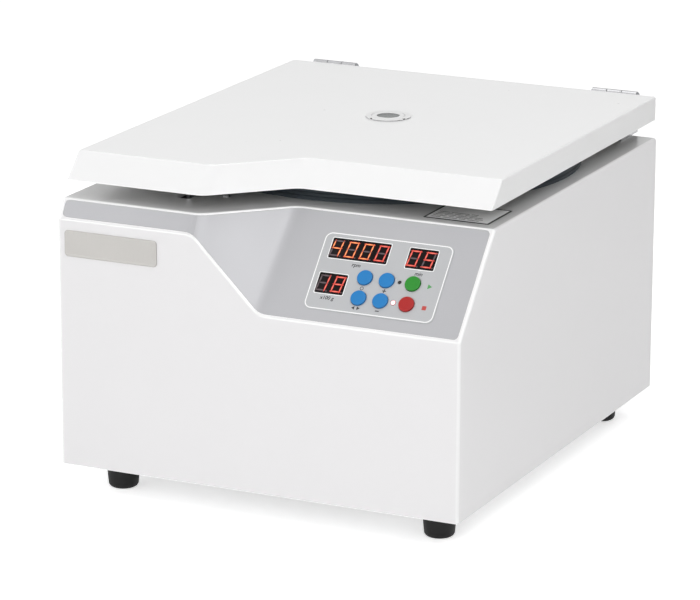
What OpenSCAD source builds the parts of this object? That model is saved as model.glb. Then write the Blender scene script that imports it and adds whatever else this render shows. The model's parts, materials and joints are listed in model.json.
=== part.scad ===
// Bench centrifuge for microplates: a painted housing with a stepped, sloped front,
// a hinged lid over a round chamber, and a swing-out rotor with two plate buckets.
// Millimetres, +Z up. The origin is on the bench, below the middle of the whole outline.

/* [Housing] */
// Width of the housing
body_w = 360; // [350:1:432]
// Height of the housing, bottom edge to deck
body_h = 226; // [212:1:272]
// Wall thickness of the housing
wall = 2; // [1.6:0.1:2.4]
// Outer radius of the housing's folds and edges
bend_r = 2.5; // [1.5:0.1:2.8]
// Width of the flange that turns in along the bottom edge
base_flange = 20; // [18:1:24]
// Width of the flange behind the rear panel
rear_flange = 12; // [10:1:16]

/* [Sloped front] */
// Height of the fold below the control panel, above the housing's bottom edge
panel_fold = 149.5; // [125:0.5:165]
// Height of the fold on the left of the step
step_fold = 209.5; // [195:0.5:210]
// Setback of the deck edge above the control panel
panel_setback = 67; // [56:0.5:80]
// Setback of the deck edge on the left of the step
step_setback = 9; // [7:0.5:12]
// Middle of the diagonal step along the front fold
fold_step_x = -27.5; // [-40:0.5:-20]
// Middle of the diagonal step along the deck edge
deck_step_x = -23.7; // [-36:0.5:-16]
// Radius where the diagonal step meets the straight runs
step_r = 16; // [10:1:20]

/* [Fascia and control panel] */
// Thickness of the silver fascia film
film_t = 0.4; // [0.3:0.1:0.6]
// Depth of the recess that the film lies in
film_recess = 0.6; // [0.5:0.1:0.8]
// White rim left below the film
rim_low = 2.6; // [1.5:0.1:4]
// White rim left above the film
rim_top = 1.8; // [1.5:0.1:3]
// White rim left at the film's ends
rim_side = 3.8; // [3:0.1:6]
// Corner radius of the film
film_r = 3.5; // [2:0.5:5]
// Left edge of the control overlay, right of the housing's middle
overlay_u = 38; // [34:0.5:42]
// Lower edge of the control overlay, up the slope from the fold
overlay_v = 12.8; // [8:0.1:16]
// Width of the control overlay
overlay_w = 113.5; // [110:0.5:120]
// Height of the control overlay along the slope
overlay_h = 69.7; // [66:0.1:72]
// Corner radius of the control overlay
overlay_r = 6; // [3:0.5:8]
// Thickness of the control overlay
overlay_t = 0.3; // [0.2:0.1:0.4]
// Pitch of the display digits
digit_pitch = 13.25; // [12.7:0.05:13.4]
// Height of the display windows
window_h = 18; // [16:0.1:19]
// Depth of the display modules
display_d = 8; // [7:0.1:10]
// Radius of the push buttons
button_r = 6.5; // [5:0.1:7]
// Height of the push buttons above the slope
button_proud = 1.8; // [1:0.1:3]
// Travel of the push buttons
button_travel = 1; // [0.5:0.1:1.2]

/* [Plates on the housing] */
// Width of the blank name plate
plate_w = 85; // [70:1:95]
// Height of the blank name plate
plate_h = 22; // [16:1:26]
// Thickness of the blank name plate
plate_t = 1; // [0.6:0.1:1.5]
// Distance of the name plate from the housing's left side
plate_side = 6.6; // [5:0.1:12]
// Height of the name plate's lower edge above the housing's bottom edge
plate_low = 179.2; // [160:0.1:182]

/* [Feet and base] */
// Height of a rubber foot
foot_h = 23.5; // [18:0.5:30]
// Radius of a foot at its top
foot_top_r = 14.5; // [12:0.5:18]
// Radius of a foot at its bottom
foot_low_r = 12.7; // [10:0.1:14]
// Thickness of the base plate
base_t = 3.5; // [2.5:0.1:4]
// Distance of the base plate's edge from the housing's sides
base_inset = 13; // [10:1:15]
// Distance of the feet from the housing's sides
foot_side = 35; // [30:1:45]
// Distance of the front feet from the front face
foot_front = 42.4; // [36:0.1:50]
// Distance of the rear feet from the rear face
foot_rear = 29; // [28:1:40]

/* [Lid] */
// Distance of the lid's sides from the housing's sides
lid_side = 3.5; // [1:0.5:8]
// Thickness of the lid
lid_t = 21.1; // [18:0.1:25]
// Gap between the deck and the lid
lid_gap = 14.5; // [12:0.1:18]
// Overhang of the lid behind the housing
lid_rear = 6.6; // [4:0.1:10]
// Wall thickness of the lid shell
lid_wall = 2; // [1.5:0.1:2.5]
// Run of the bevel along the lid's front, from its lower to its upper edge
lid_bevel = 20.6; // [16:0.1:24]
// Radius of the lid's upper edges
lid_edge_r = 1.5; // [0.8:0.1:2]
// Radius of the window ring in the lid
window_r = 19.75; // [16:0.25:22]
// Radius of the clear sight glass
glass_r = 14.4; // [12:0.1:15]
// Radius of the sight hole in the lid liner
sight_r = 9.75; // [6:0.25:11]

/* [Lid hinges] */
// Distance of the middle of each hinge from the lid's side
hinge_in = 40.5; // [30:0.5:60]
// Width of each hinge
hinge_w = 42; // [36:1:50]
// Radius of the hinge barrel
hinge_r = 4; // [3.5:0.1:5]
// Radius of the hinge pin
pin_r = 2; // [1.5:0.1:2.2]
// Height of the barrel above the lid's top
hinge_rise = 1.5; // [0.5:0.1:3]
// Thickness of the hinge leaves
leaf_t = 2; // [1.5:0.1:2.5]

/* [Chamber] */
// Distance of the chamber seal behind the deck edge above the panel
chamber_back = 21; // [14:1:60]
// Distance of the chamber seal from the housing's rear face
chamber_rear = 4; // [4:1:90]
// Room between the chamber bowl and the rotor's reach
bowl_gap = 19.75; // [16:0.05:22]
// Depth of the chamber bowl below the deck
bowl_depth = 141; // [136:1:145]
// Thickness of the bowl's sheet
bowl_t = 1.5; // [1:0.1:2]
// Radius of the bend between the bowl's wall and floor
bowl_bend = 8; // [6:1:10]
// Distance of the chamber seal's outer edge from the bowl's inner face
seal_out = 15; // [13:0.5:17]
// Width of the chamber seal
seal_w = 12; // [10:0.5:12.5]
// Thickness of the guard ring round the bowl
guard_t = 3.5; // [2.5:0.1:4]

/* [Rotor] */
// Room between a bucket and the rotor's cross web
bucket_gap = 10.25; // [8:0.25:12]
// Height of the bucket pivots below the deck
pivot_drop = 65; // [62:0.5:70]
// Length of a microplate
microplate_l = 127.8; // [127:0.1:128.5]
// Width of a microplate
microplate_w = 85.5; // [85:0.1:86]
// Room round a microplate in its bucket
plate_gap = 0.5; // [0.3:0.1:0.8]
// Depth of the bucket floor below its pivot
bucket_drop = 38; // [34:0.5:42]
// Height of the bucket rim above its pivot
bucket_rise = 12; // [8:0.5:14]
// Wall thickness of a bucket
bucket_t = 2.5; // [2:0.1:3]
// Radius of the trunnion pins
trunnion_r = 4; // [3:0.1:5]
// Thickness of the rotor's side bars
bar_t = 9.5; // [7:0.5:11]
// Radius of the motor spindle
spindle_r = 8; // [7:0.5:9]
// Radius of the spindle where the rotor sits
seat_r = 6; // [5:0.5:6.5]

/* [Lid lock] */
// Distance of the lock from the middle, to the left
lock_x = 90; // [84:1:96]
// Distance of the lock slot's front end behind the front face
lock_front = 48; // [44:1:54]
// Length of the lock slot
slot_l = 34; // [30:1:38]
// Width of the lock slot
slot_w = 12; // [11:0.5:13]
// Thickness of the hook
hook_t = 3; // [2.5:0.1:4]
// Radius of the lock bolt
bolt_r = 3.5; // [3:0.1:4]
// Travel of the lock bolt
bolt_travel = 12; // [10:0.5:13]

/* [Rear fittings] */
// Height of the mains fittings above the housing's bottom edge
mains_z = 38; // [34:1:44]
// Distance of the power inlet from the middle
inlet_x = 118; // [110:1:125]
// Distance of the power switch from the middle
switch_x = 72; // [66:1:80]
// Distance of the fuse holder from the middle
fuse_x = 36; // [32:1:44]
// Number of vent slots in the rear panel
vent_count = 14; // [6:1:15]
// Width of one vent slot
vent_w = 3.5; // [2.5:0.1:3.8]

/* [Clearances] */
// Gap between pieces that move past each other
move_gap = 0.3; // [0.25:0.05:0.5]
// Radial clearance of a pin that turns in its bore
run_gap = 0.05; // [0.02:0.01:0.08]
// Gap between pieces that are fitted into each other
fit_gap = 0.2; // [0.1:0.05:0.3]
// Thickness of the adhesive under a film
glue_t = 0.05; // [0.02:0.01:0.1]

/* [Hidden] */
$fn = 64;
OVERCUT = 1;
STATION_PITCH = 3;
BEND_STEPS = 4;
// Heights
z_body = foot_h + base_t;
z_deck = z_body + body_h;
z_lid = z_deck + lid_gap;
z_top = z_lid + lid_t;
// Rotor
z_pivot = z_deck - pivot_drop;
bucket_in_w = microplate_w + 2 * plate_gap;
bucket_in_l = microplate_l + 2 * plate_gap;
bucket_w = bucket_in_w + 2 * bucket_t;
bucket_l = bucket_in_l + 2 * bucket_t;
ear_t = 3;
bar_in = bucket_l / 2 + ear_t + 0.8;
bar_h = 20;
hub_r = 16;
hub_low = z_pivot - 30;
hub_top = z_pivot + 14;
web_half = 10;
pivot_r = web_half + bucket_gap + bucket_w / 2;
reach = norm([pivot_r + bucket_w / 2, bucket_l / 2]);
// Chamber
z_floor = z_deck - bowl_depth;
bowl_r = reach + bowl_gap;
seal_r = bowl_r + seal_out;
bowl_lip = seal_r - 2;
bowl_hole = 30;
guard_gap = 1;
guard_r = bowl_r + bowl_t + guard_gap;
guard_h = bowl_depth + 6;
// Depths: the box from the name plate to the hinge barrels is centred on the origin
body_d = panel_setback + chamber_back + 2 * seal_r + chamber_rear;
barrel_gap = hinge_r + move_gap;
rear_over = lid_rear + barrel_gap + hinge_r;
y_front = -(body_d + rear_over + plate_t) / 2 + plate_t;
y_rear = y_front + body_d;
y_mid = (y_front + y_rear) / 2;
y_spindle = y_rear - chamber_rear - seal_r;
y_lid_rear = y_rear + lid_rear;
y_hinge = y_lid_rear + barrel_gap;
z_hinge = z_top + hinge_rise - hinge_r;
// Sloped front
half_w = body_w / 2;
panel_tilt = atan2(body_h - panel_fold, panel_setback);
fold_run = step_fold - panel_fold;
deck_run = panel_setback - step_setback;
step_x1 = fold_step_x - fold_run / 2 - step_r;
step_x2 = deck_step_x + deck_run / 2 + step_r;
// Control panel: columns and rows of buttons, and the centres of the displays
button_u = [overlay_u + 45.5, overlay_u + 64.6, overlay_u + 87.4];
button_v = [overlay_v + 32.6, overlay_v + 14.3];
led_u = overlay_u + 75.8;
digit_gap = 1.8;
film_low = glue_t - film_recess;
speed_at = [overlay_u + 33.7, overlay_v + 55.6];
time_at = [overlay_u + 88.4, overlay_v + 54.9];
rcf_at = [overlay_u + 18.4, overlay_v + 23.9];
button_flange = 1.1;
button_lip = 1;
led_r = [1.5, 2.2];
led_proud = 0.2;
board_t = 1.6;
board_n = -film_recess - fit_gap - display_d;
post_r = 3;
post_edge = 4.2;
board_u = [overlay_u + post_edge - 1, overlay_u + overlay_w - post_edge + 1];
board_v = [overlay_v + post_edge - 2, overlay_v + overlay_h - post_edge + 2];
// Motor
motor_r = 50;
motor_neck_r = 20;
damper_h = 20;
damper_r = 13;
damper_circle = 62;
stud_r = 4;
z_mount = z_body + damper_h;
mount_t = 4;
mount_r = damper_circle + damper_r + 3;
z_motor = z_mount + mount_t;
z_neck = z_floor - 8;
bearing_low = z_motor + 10;
// Lid
lid_half = half_w - lid_side;
hinge_x = lid_half - hinge_in;
lid_lead = 0.7;
lid_low_step_x = deck_step_x + 0.8;
lid_top_step_x = deck_step_x;
liner_t = 2;
glass_deep = 3;
// Lock
lock_y = y_front + lock_front + slot_l / 2;
hook_l = 14;
bolt_deep = 17.5;
z_bolt = z_deck - bolt_deep;
hook_end = 8;
hook_drop = z_lid - z_bolt + hook_end;
cheek_t = 3;
cheek_h = 42;
cheek_gap = slot_w / 2 + 0.6;
// The bolt's tip waits beside the hook, and reaches into the far cheek at the end of its travel
bolt_rest = slot_w / 2 - 2.2;
bolt_l = bolt_travel + 18;
solenoid_l = bolt_l + 6;
// Hinges
pin_bore = pin_r + run_gap;
knuckle = hinge_w / 3;
hinge_screw_x = hinge_w / 2 - 9;
hinge_screw_y = y_rear - 16;
leaf_screw_z = z_lid + 7;
shelf_t = 2.5;
shelf_lap = 26;
// Screws
screw_r = 1.6;
screw_slack = 0.2;
screw_head_r = 3.2;
screw_grip = 2;
foot_screw_r = 2.4;
foot_pad = 8;
deck_screw_at = [-60, 68];
// Rear panel
rear_edge = 3;
rear_w = body_w - 2 * rear_edge;
rear_h = body_h - 2 * rear_edge;
z_rear = z_body + body_h / 2;
rear_t = 2;
rear_screw_x = [-1, 0, 1] * (rear_w / 2 - rear_flange / 2);
rear_screw_z = [-1, 1] * (rear_h / 2 - rear_flange / 2);
vent_pitch = 9;
vent_h = 60;
vent_x = 84;
vent_rise = 26;
// Base plate and feet
base_w = body_w - 2 * base_inset;
base_d = body_d - 2 * base_inset;
base_lap = (base_flange - base_inset) / 2;
base_screw_end = 60;
base_screw_at = [
    for (sx = [-1, 1]) for (sy = [-1, 0, 1])
        [sx * (base_w / 2 - base_lap), y_mid + sy * (base_d / 2 - base_screw_end)]
];
foot_at = [
    [-(half_w - foot_side), y_front + foot_front],
    [half_w - foot_side, y_front + foot_front],
    [-(half_w - foot_side), y_rear - foot_rear],
    [half_w - foot_side, y_rear - foot_rear]
];
// Rear fittings, on a plate of their own that a lap behind the rear panel holds
mains_lap = 4;
mains_side = 30;
mains_back_t = 1.5;
mains_x = (inlet_x + fuse_x) / 2;
mains_w = inlet_x - fuse_x + 2 * mains_side;
mains_h = 2 * (mains_z - rear_edge - rear_flange - mains_lap - fit_gap);
inlet_body = [27.6, 20.4];
inlet_depth = 20;
switch_body = [21, 28];
switch_bezel = [25, 33];
rocker = [15, 21];
rocker_drop = 5;
rocker_pin_r = 1.5;
rocker_lean = 8;
bezel_t = 2;
fuse_r = 6;

// A value that runs level at the left, climbs or falls along a straight diagonal, and runs level
// again at the right, with a round of radius r at both ends of the diagonal.
function step_curve(x, mid, left, right, run, r) =
    let (
        slope = (right - left) / run,
        lean = atan(abs(slope)),
        lead = r * tan(lean / 2),
        arc = r * sin(lean),
        x1 = mid - run / 2 - lead,
        x2 = mid + run / 2 + lead,
        way = sign(right - left)
    )
    x <= x1 ? left
    : x < x1 + arc ? left + way * (r - sqrt(r * r - pow(x - x1, 2)))
    : x <= x2 - arc ? left + slope * (x - mid + run / 2)
    : x < x2 ? right - way * (r - sqrt(r * r - pow(x2 - x, 2)))
    : right;

function fold_z(x) = z_body + step_curve(x, fold_step_x, step_fold, panel_fold, fold_run, step_r);
function deck_setback(x) = step_curve(x, deck_step_x, step_setback, panel_setback, deck_run, step_r);

// Places across the width where a section is drawn: close together at the step, and at the
// ends where an edge of radius r turns down
function stations(half, r) =
    let (ends = r == 0 ? [0] : [for (a = [90 : -30 : 0]) r * (1 - sin(a))])
    concat(
        [for (end = ends) end - half],
        [for (x = [step_x1 : STATION_PITCH : step_x2]) x],
        [for (i = [len(ends) - 1 : -1 : 0]) half - ends[i]]
    );

// The points of a bend of radius r in the corner at p, from the way d1 to the way d2
function bend(p, d1, d2, r) =
    let (
        half = acos(d1 * d2) / 2,
        mid = (d1 + d2) / norm(d1 + d2),
        side = (d2 - d1) / norm(d2 - d1),
        centre = p + mid * r / sin(half),
        spread = 90 - half
    )
    [
        for (i = [0 : BEND_STEPS])
            let (a = spread * (1 - 2 * i / BEND_STEPS))
            centre - r * (cos(a) * mid + sin(a) * side)
    ];

// The slope's direction at x, as its run and rise for one millimetre along it
function slope_way(x) =
    let (run = deck_setback(x), rise = z_deck - fold_z(x), length = norm([run, rise]))
    [run / length, rise / length, length];

// A point at x that lies v up the slope from the fold, and n out of its face
function slope_point(x, v, n) =
    let (way = slope_way(x))
    [x, y_front + v * way[0] - n * way[1], fold_z(x) + v * way[1] + n * way[0]];

// The housing's section at x, drawn in by t at the front, the slope and the deck, with folds of
// radius r above and below the slope
function housing_section(x, t, r, z_low, y_back) =
    let (
        way = slope_way(x),
        up = [0, way[0], way[1]],
        fold = slope_point(x, t * (1 - way[1]) / way[0], -t),
        deck_edge = slope_point(x, (z_deck - t - fold_z(x) + t * way[0]) / way[1], -t)
    )
    concat(
        [[x, y_front + t, z_low], [x, y_back, z_low], [x, y_back, z_deck - t]],
        r == 0 ? [deck_edge] : bend(deck_edge, [0, 1, 0], -up, r),
        r == 0 ? [fold] : bend(fold, up, [0, 0, -1], r)
    );

function lid_low_y(x) = y_front + lid_lead
    + step_curve(x, lid_low_step_x, step_setback, panel_setback, deck_run, step_r);
function lid_top_y(x) = y_front + lid_lead + lid_bevel
    + step_curve(x, lid_top_step_x, step_setback, panel_setback, deck_run - lid_lead, step_r);

// The lid's section at x between two heights, drawn in by t at the bevel and the rear, with
// upper edges of radius r
function lid_section(x, t, r, z1, z2) =
    let (
        run = lid_top_y(x) - lid_low_y(x),
        length = norm([run, lid_t]),
        shift = t * length / lid_t,
        down = [0, -run, -lid_t] / length,
        rear = [x, y_lid_rear - t, z2],
        front = [x, lid_low_y(x) + run * (z2 - z_lid) / lid_t + shift, z2]
    )
    concat(
        [[x, lid_low_y(x) + run * (z1 - z_lid) / lid_t + shift, z1], [x, y_lid_rear - t, z1]],
        r == 0 ? [rear] : bend(rear, [0, 0, -1], [0, -1, 0], r),
        r == 0 ? [front] : bend(front, [0, 1, 0], down, r)
    );

// How far a rounded corner of radius r draws an edge in at x, near either end
function corner_inset(x, half, r) =
    let (reach = half - abs(x))
    reach >= r ? 0 : r - sqrt(max(0, r * r - pow(r - reach, 2)));

// A solid through sections that all have the same number of points
module loft(sections) {
    n = len(sections[0]);
    last = len(sections) - 1;
    sides = [
        for (i = [0 : last - 1]) for (j = [0 : n - 1])
            let (k = (j + 1) % n)
            each [
                [i * n + j, (i + 1) * n + k, i * n + k],
                [i * n + j, (i + 1) * n + j, (i + 1) * n + k]
            ]
    ];
    start = [for (j = [0 : n - 1]) j];
    end = [for (j = [n - 1 : -1 : 0]) last * n + j];
    polyhedron([for (section = sections) each section], concat([start], sides, [end]));
}

// A slab that follows the sloped front between two depths below its face
module fascia_slab(n_low, n_high, gap) {
    half = half_w - rim_side + gap;
    ends = [0, film_r * 0.15, film_r * 0.5, film_r];
    xs = concat(
        [for (e = ends) e - half],
        [for (x = [step_x1 : STATION_PITCH : step_x2]) x],
        [for (i = [3 : -1 : 0]) half - ends[i]]
    );
    loft([
        for (x = xs)
            let (
                inset = corner_inset(x, half, film_r),
                v1 = rim_low - gap + inset,
                v2 = slope_way(x)[2] - rim_top + gap - inset
            )
            [
                slope_point(x, v1, n_low),
                slope_point(x, v2, n_low),
                slope_point(x, v2, n_high),
                slope_point(x, v1, n_high)
            ]
    ]);
}

// Puts its children on the panel: x across, y up the slope from the fold, z out of the face
module on_panel() {
    translate([0, y_front, z_body + panel_fold]) rotate([panel_tilt, 0, 0]) children();
}

module rounded_rect(w, d, r) {
    for (sx = [-1, 1]) for (sy = [-1, 1])
        translate([sx * (w / 2 - r), sy * (d / 2 - r)]) circle(r);
    square([w, d - 2 * r], center = true);
    square([w - 2 * r, d], center = true);
}

module rounded_slab(w, d, h, r) {
    linear_extrude(h) rounded_rect(w, d, r);
}

function display_w(digits) = digits * digit_pitch - digit_gap;

module display_area(at, digits, gap, n, h) {
    translate([at[0], at[1], n]) rounded_slab(display_w(digits) + 2 * gap, window_h + 2 * gap, h, 1);
}

// The windows and holes of the control panel, drawn through everything between two depths
module panel_cuts(n, h) {
    on_panel() {
        display_area(speed_at, 4, fit_gap, n, h);
        display_area(time_at, 2, fit_gap, n, h);
        display_area(rcf_at, 2, fit_gap, n, h);
        for (u = button_u) for (v = button_v)
            translate([u, v, n]) cylinder(h = h, r = button_r + move_gap);
        for (i = [0, 1])
            translate([led_u, button_v[i], n]) cylinder(h = h, r = led_r[i] + fit_gap);
    }
}

// Housing

module lock_slot(h) {
    translate([-lock_x, lock_y, z_deck - wall - OVERCUT]) rounded_slab(slot_w, slot_l, h, 1.5);
}

module rear_screw_places() {
    for (x = rear_screw_x) for (z = rear_screw_z)
        translate([x, y_rear, z_rear + z]) rotate([90, 0, 0]) children();
}

module hinge_screw_places() {
    for (sx = [-1, 1]) for (s = [-1, 1])
        translate([sx * hinge_x + s * hinge_screw_x, hinge_screw_y, z_deck]) children();
}

module casing() {
    color("white") {
        difference() {
            loft([
                for (x = stations(half_w, bend_r))
                    housing_section(x, corner_inset(x, half_w, bend_r), bend_r, z_body, y_rear)
            ]);
            loft([
                for (x = stations(half_w - wall, 0))
                    housing_section(x, wall, 0, z_body + wall, y_rear - rear_t - wall)
            ]);
            translate([0, y_mid, z_body - OVERCUT])
                rounded_slab(
                    body_w - 2 * base_flange, body_d - 2 * base_flange, wall + 2 * OVERCUT, 6
                );
            translate([0, y_rear + OVERCUT, z_rear]) rotate([90, 0, 0]) {
                rounded_slab(rear_w + fit_gap, rear_h + fit_gap, rear_t + OVERCUT, 3);
                rounded_slab(
                    rear_w - 2 * rear_flange, rear_h - 2 * rear_flange,
                    rear_t + wall + 2 * OVERCUT, 4
                );
            }
            fascia_slab(-film_recess, OVERCUT, fit_gap);
            panel_cuts(-wall - OVERCUT, wall + 2 * OVERCUT);
            translate([0, y_spindle, z_deck - wall - OVERCUT])
                cylinder(h = wall + 2 * OVERCUT, r = bowl_r + bowl_t + fit_gap);
            lock_slot(wall + 2 * OVERCUT);
            hinge_screw_places() translate([0, 0, -wall - OVERCUT])
                cylinder(h = wall + 2 * OVERCUT, r = screw_r);
            rear_screw_places() cylinder(h = rear_t + wall + OVERCUT, r = screw_r);
            for (at = base_screw_at)
                translate([at[0], at[1], z_body - OVERCUT]) cylinder(h = wall + 2 * OVERCUT, r = screw_r);
            deck_screw_place() translate([0, 0, -wall - OVERCUT])
                cylinder(h = wall + 2 * OVERCUT, r = screw_r);
        }
        board_posts();
    }
}

module board_posts() {
    on_panel() for (u = board_u) for (v = board_v)
        translate([u, v, board_n]) difference() {
            cylinder(h = -board_n - wall + 0.1, r = post_r);
            translate([0, 0, -OVERCUT]) cylinder(h = 4 + OVERCUT, r = 1.2);
        }
}

module rear_panel() {
    color("white") difference() {
        translate([0, y_rear, z_rear]) rotate([90, 0, 0]) rounded_slab(rear_w, rear_h, rear_t, 3);
        rear_screw_places() translate([0, 0, -OVERCUT])
            cylinder(h = rear_t + 2 * OVERCUT, r = screw_r + screw_slack);
        on_rear(mains_x) translate([0, 0, -OVERCUT])
            rounded_slab(mains_w + fit_gap, mains_h + fit_gap, rear_t + 2 * OVERCUT, 3);
        vent_slots();
    }
}

// The plate with the holes for the inlet, the switch and the fuse, flush in the rear panel
module mains_plate() {
    through = rear_t + mains_back_t + 2 * OVERCUT;
    color("white") difference() {
        on_rear(mains_x) {
            rounded_slab(mains_w, mains_h, rear_t + 0.1, 3);
            translate([0, 0, rear_t])
                rounded_slab(mains_w + 2 * mains_lap, mains_h + 2 * mains_lap, mains_back_t, 3);
        }
        on_rear(inlet_x) translate([0, 0, -OVERCUT])
            rounded_slab(inlet_body[0] + fit_gap, inlet_body[1] + fit_gap, through, 3);
        on_rear(switch_x) translate([0, 0, -OVERCUT])
            rounded_slab(switch_body[0] + fit_gap, switch_body[1] + fit_gap, through, 1);
        on_rear(fuse_x) translate([0, 0, -OVERCUT]) cylinder(h = through, r = fuse_r + fit_gap / 2);
    }
}

module vent_slots() {
    for (side = [-1, 1]) for (i = [0 : vent_count - 1])
        translate([side * vent_x + (i - (vent_count - 1) / 2) * vent_pitch, y_rear, z_rear + vent_rise])
            rotate([90, 0, 0]) translate([0, 0, -OVERCUT])
                linear_extrude(rear_t + 2 * OVERCUT) union() {
                    square([vent_w, vent_h], center = true);
                    for (s = [-1, 1]) translate([0, s * vent_h / 2]) circle(vent_w / 2);
                }
}

// Places a rear fitting: z runs from the panel's outer face into the housing
module on_rear(x) {
    translate([x, y_rear, z_body + mains_z]) rotate([90, 0, 0]) children();
}

module foot_places() {
    for (at = foot_at) translate([at[0], at[1], 0]) children();
}

module base_plate() {
    vents = 5;
    pitch = 12;
    slot = 30;
    behind_front = 70;
    color("gainsboro") difference() {
        translate([0, y_mid, foot_h]) rounded_slab(base_w, base_d, base_t, 5);
        foot_places() translate([0, 0, foot_h - OVERCUT])
            cylinder(h = base_t + 2 * OVERCUT, r = foot_screw_r + screw_slack / 2);
        for (at = base_screw_at)
            translate([at[0], at[1], foot_h - OVERCUT])
                cylinder(h = base_t + 2 * OVERCUT, r = screw_r + screw_slack);
        for (i = [-vents : vents]) translate([i * pitch, y_front + behind_front, foot_h - OVERCUT])
            linear_extrude(base_t + 2 * OVERCUT) union() {
                square([vent_w, slot], center = true);
                for (s = [-1, 1]) translate([0, s * slot / 2]) circle(vent_w / 2);
            }
    }
}

module foot(i) {
    round_r = 4;
    bore_r = 5.5;
    core_r = foot_low_r - round_r - 0.5;
    color("#1e1e1e") translate([foot_at[i][0], foot_at[i][1], 0]) difference() {
        rotate_extrude() {
            square([foot_low_r - round_r, foot_h]);
            translate([foot_low_r - round_r, round_r]) intersection() {
                circle(round_r);
                translate([0, -round_r]) square(round_r);
            }
            polygon([
                [core_r, round_r], [foot_low_r, round_r], [foot_top_r, foot_h], [core_r, foot_h]
            ]);
        }
        translate([0, 0, -OVERCUT]) cylinder(h = foot_h - foot_pad + OVERCUT, r = bore_r);
        translate([0, 0, -OVERCUT]) cylinder(h = foot_h + 2 * OVERCUT, r = foot_screw_r + screw_slack / 2);
    }
}

module foot_screws() {
    head = [4.5, 3.5];
    hex_r = 2.3;
    nut = [4.6, 3.6];
    foot_places() translate([0, 0, foot_h - foot_pad]) {
        translate([0, 0, -head[1]]) difference() {
            cylinder(h = head[1], r = head[0]);
            translate([0, 0, -OVERCUT]) cylinder(h = 2 + OVERCUT, r = hex_r, $fn = 6);
        }
        cylinder(h = foot_pad + base_t + nut[1] + 0.4, r = foot_screw_r);
        translate([0, 0, foot_pad + base_t]) cylinder(h = nut[1], r = nut[0], $fn = 6);
    }
}

module pan_screw(length, r) {
    head_h = 1.8;
    draft = 0.7;
    slot = [3.6, 0.7, 1];
    translate([0, 0, -length]) cylinder(h = length + 0.1, r = r);
    difference() {
        cylinder(h = head_h, r1 = screw_head_r, r2 = screw_head_r - draft);
        for (a = [0, 90]) rotate(a) translate([-slot[0] / 2, -slot[1] / 2, head_h - slot[2]])
            cube([slot[0], slot[1], slot[2] + OVERCUT]);
    }
}

module base_screws() {
    color("silver") {
        foot_screws();
        for (at = base_screw_at)
            translate([at[0], at[1], foot_h]) rotate([180, 0, 0])
                pan_screw(base_t + wall + screw_grip, screw_r);
    }
}

module rear_screws() {
    color("silver") rear_screw_places() rotate([180, 0, 0]) pan_screw(rear_t + wall + screw_grip, screw_r);
}

module deck_screw_place() {
    translate([deck_screw_at[0], y_front + deck_screw_at[1], z_deck]) children();
}

module deck_screw() {
    color("silver") deck_screw_place() pan_screw(wall + screw_grip, screw_r);
}

module fascia_film() {
    color("silver") difference() {
        fascia_slab(film_low, film_low + film_t, 0);
        panel_cuts(-OVERCUT - film_recess, 3 * OVERCUT);
    }
}

module control_overlay() {
    color("lightgray") difference() {
        on_panel()
            translate([overlay_u + overlay_w / 2, overlay_v + overlay_h / 2, film_low + film_t + glue_t])
                rounded_slab(overlay_w, overlay_h, overlay_t, overlay_r);
        panel_cuts(-OVERCUT, 2 * OVERCUT);
    }
}

// A thin plate whose edge steps down
module plain_plate(w, h, t, r) {
    step = 0.3;
    edge = 0.4;
    rounded_slab(w, h, t - step, r);
    translate([0, 0, t - step]) rounded_slab(w - 2 * edge, h - 2 * edge, step, r - edge);
}

module name_plate() {
    color("gainsboro")
        translate([plate_side - half_w + plate_w / 2, y_front, z_body + plate_low + plate_h / 2])
            rotate([90, 0, 0]) plain_plate(plate_w, plate_h, plate_t, 3);
}

module deck_label() {
    label_w = 57;
    label_d = 49;
    label_side = 11;
    label_back = 78;
    border = 1.3;
    t = 0.4;
    color("black")
        translate([half_w - label_side - label_w / 2, y_front + label_back + label_d / 2, z_deck])
        difference() {
            rounded_slab(label_w, label_d, t, 1);
            translate([0, 0, t - 0.1])
                rounded_slab(label_w - 2 * border, label_d - 2 * border, OVERCUT, 0.5);
        }
}

// Displays, buttons and the board behind them

module display(at, digits) {
    lens_t = 1;
    draw_in = 0.6;
    color("#2a0a0a") on_panel() {
        display_area(at, digits, -draw_in, board_n, display_d - lens_t);
        display_area(at, digits, 0, board_n + display_d - lens_t, lens_t);
    }
}

module button(i, j, colour) {
    flange_top = -wall - move_gap;
    dish = 0.5;
    nub = [2, 1];
    color(colour) on_panel() translate([button_u[i], button_v[j], 0]) rotate_extrude() {
        difference() {
            translate([0, flange_top - 0.1]) square([button_r, button_proud - flange_top + 0.1]);
            translate([button_r - dish, button_proud - dish]) difference() {
                square(dish + OVERCUT);
                circle(dish);
            }
        }
        translate([0, flange_top - button_flange]) square([button_r + button_lip, button_flange]);
        translate([0, flange_top - button_flange - nub[1]]) square([nub[0], nub[1] + 0.1]);
    }
}

module indicator_leds() {
    color("darkred") on_panel() for (i = [0, 1])
        translate([led_u, button_v[i], board_n]) cylinder(h = led_proud - board_n, r = led_r[i]);
}

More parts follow.
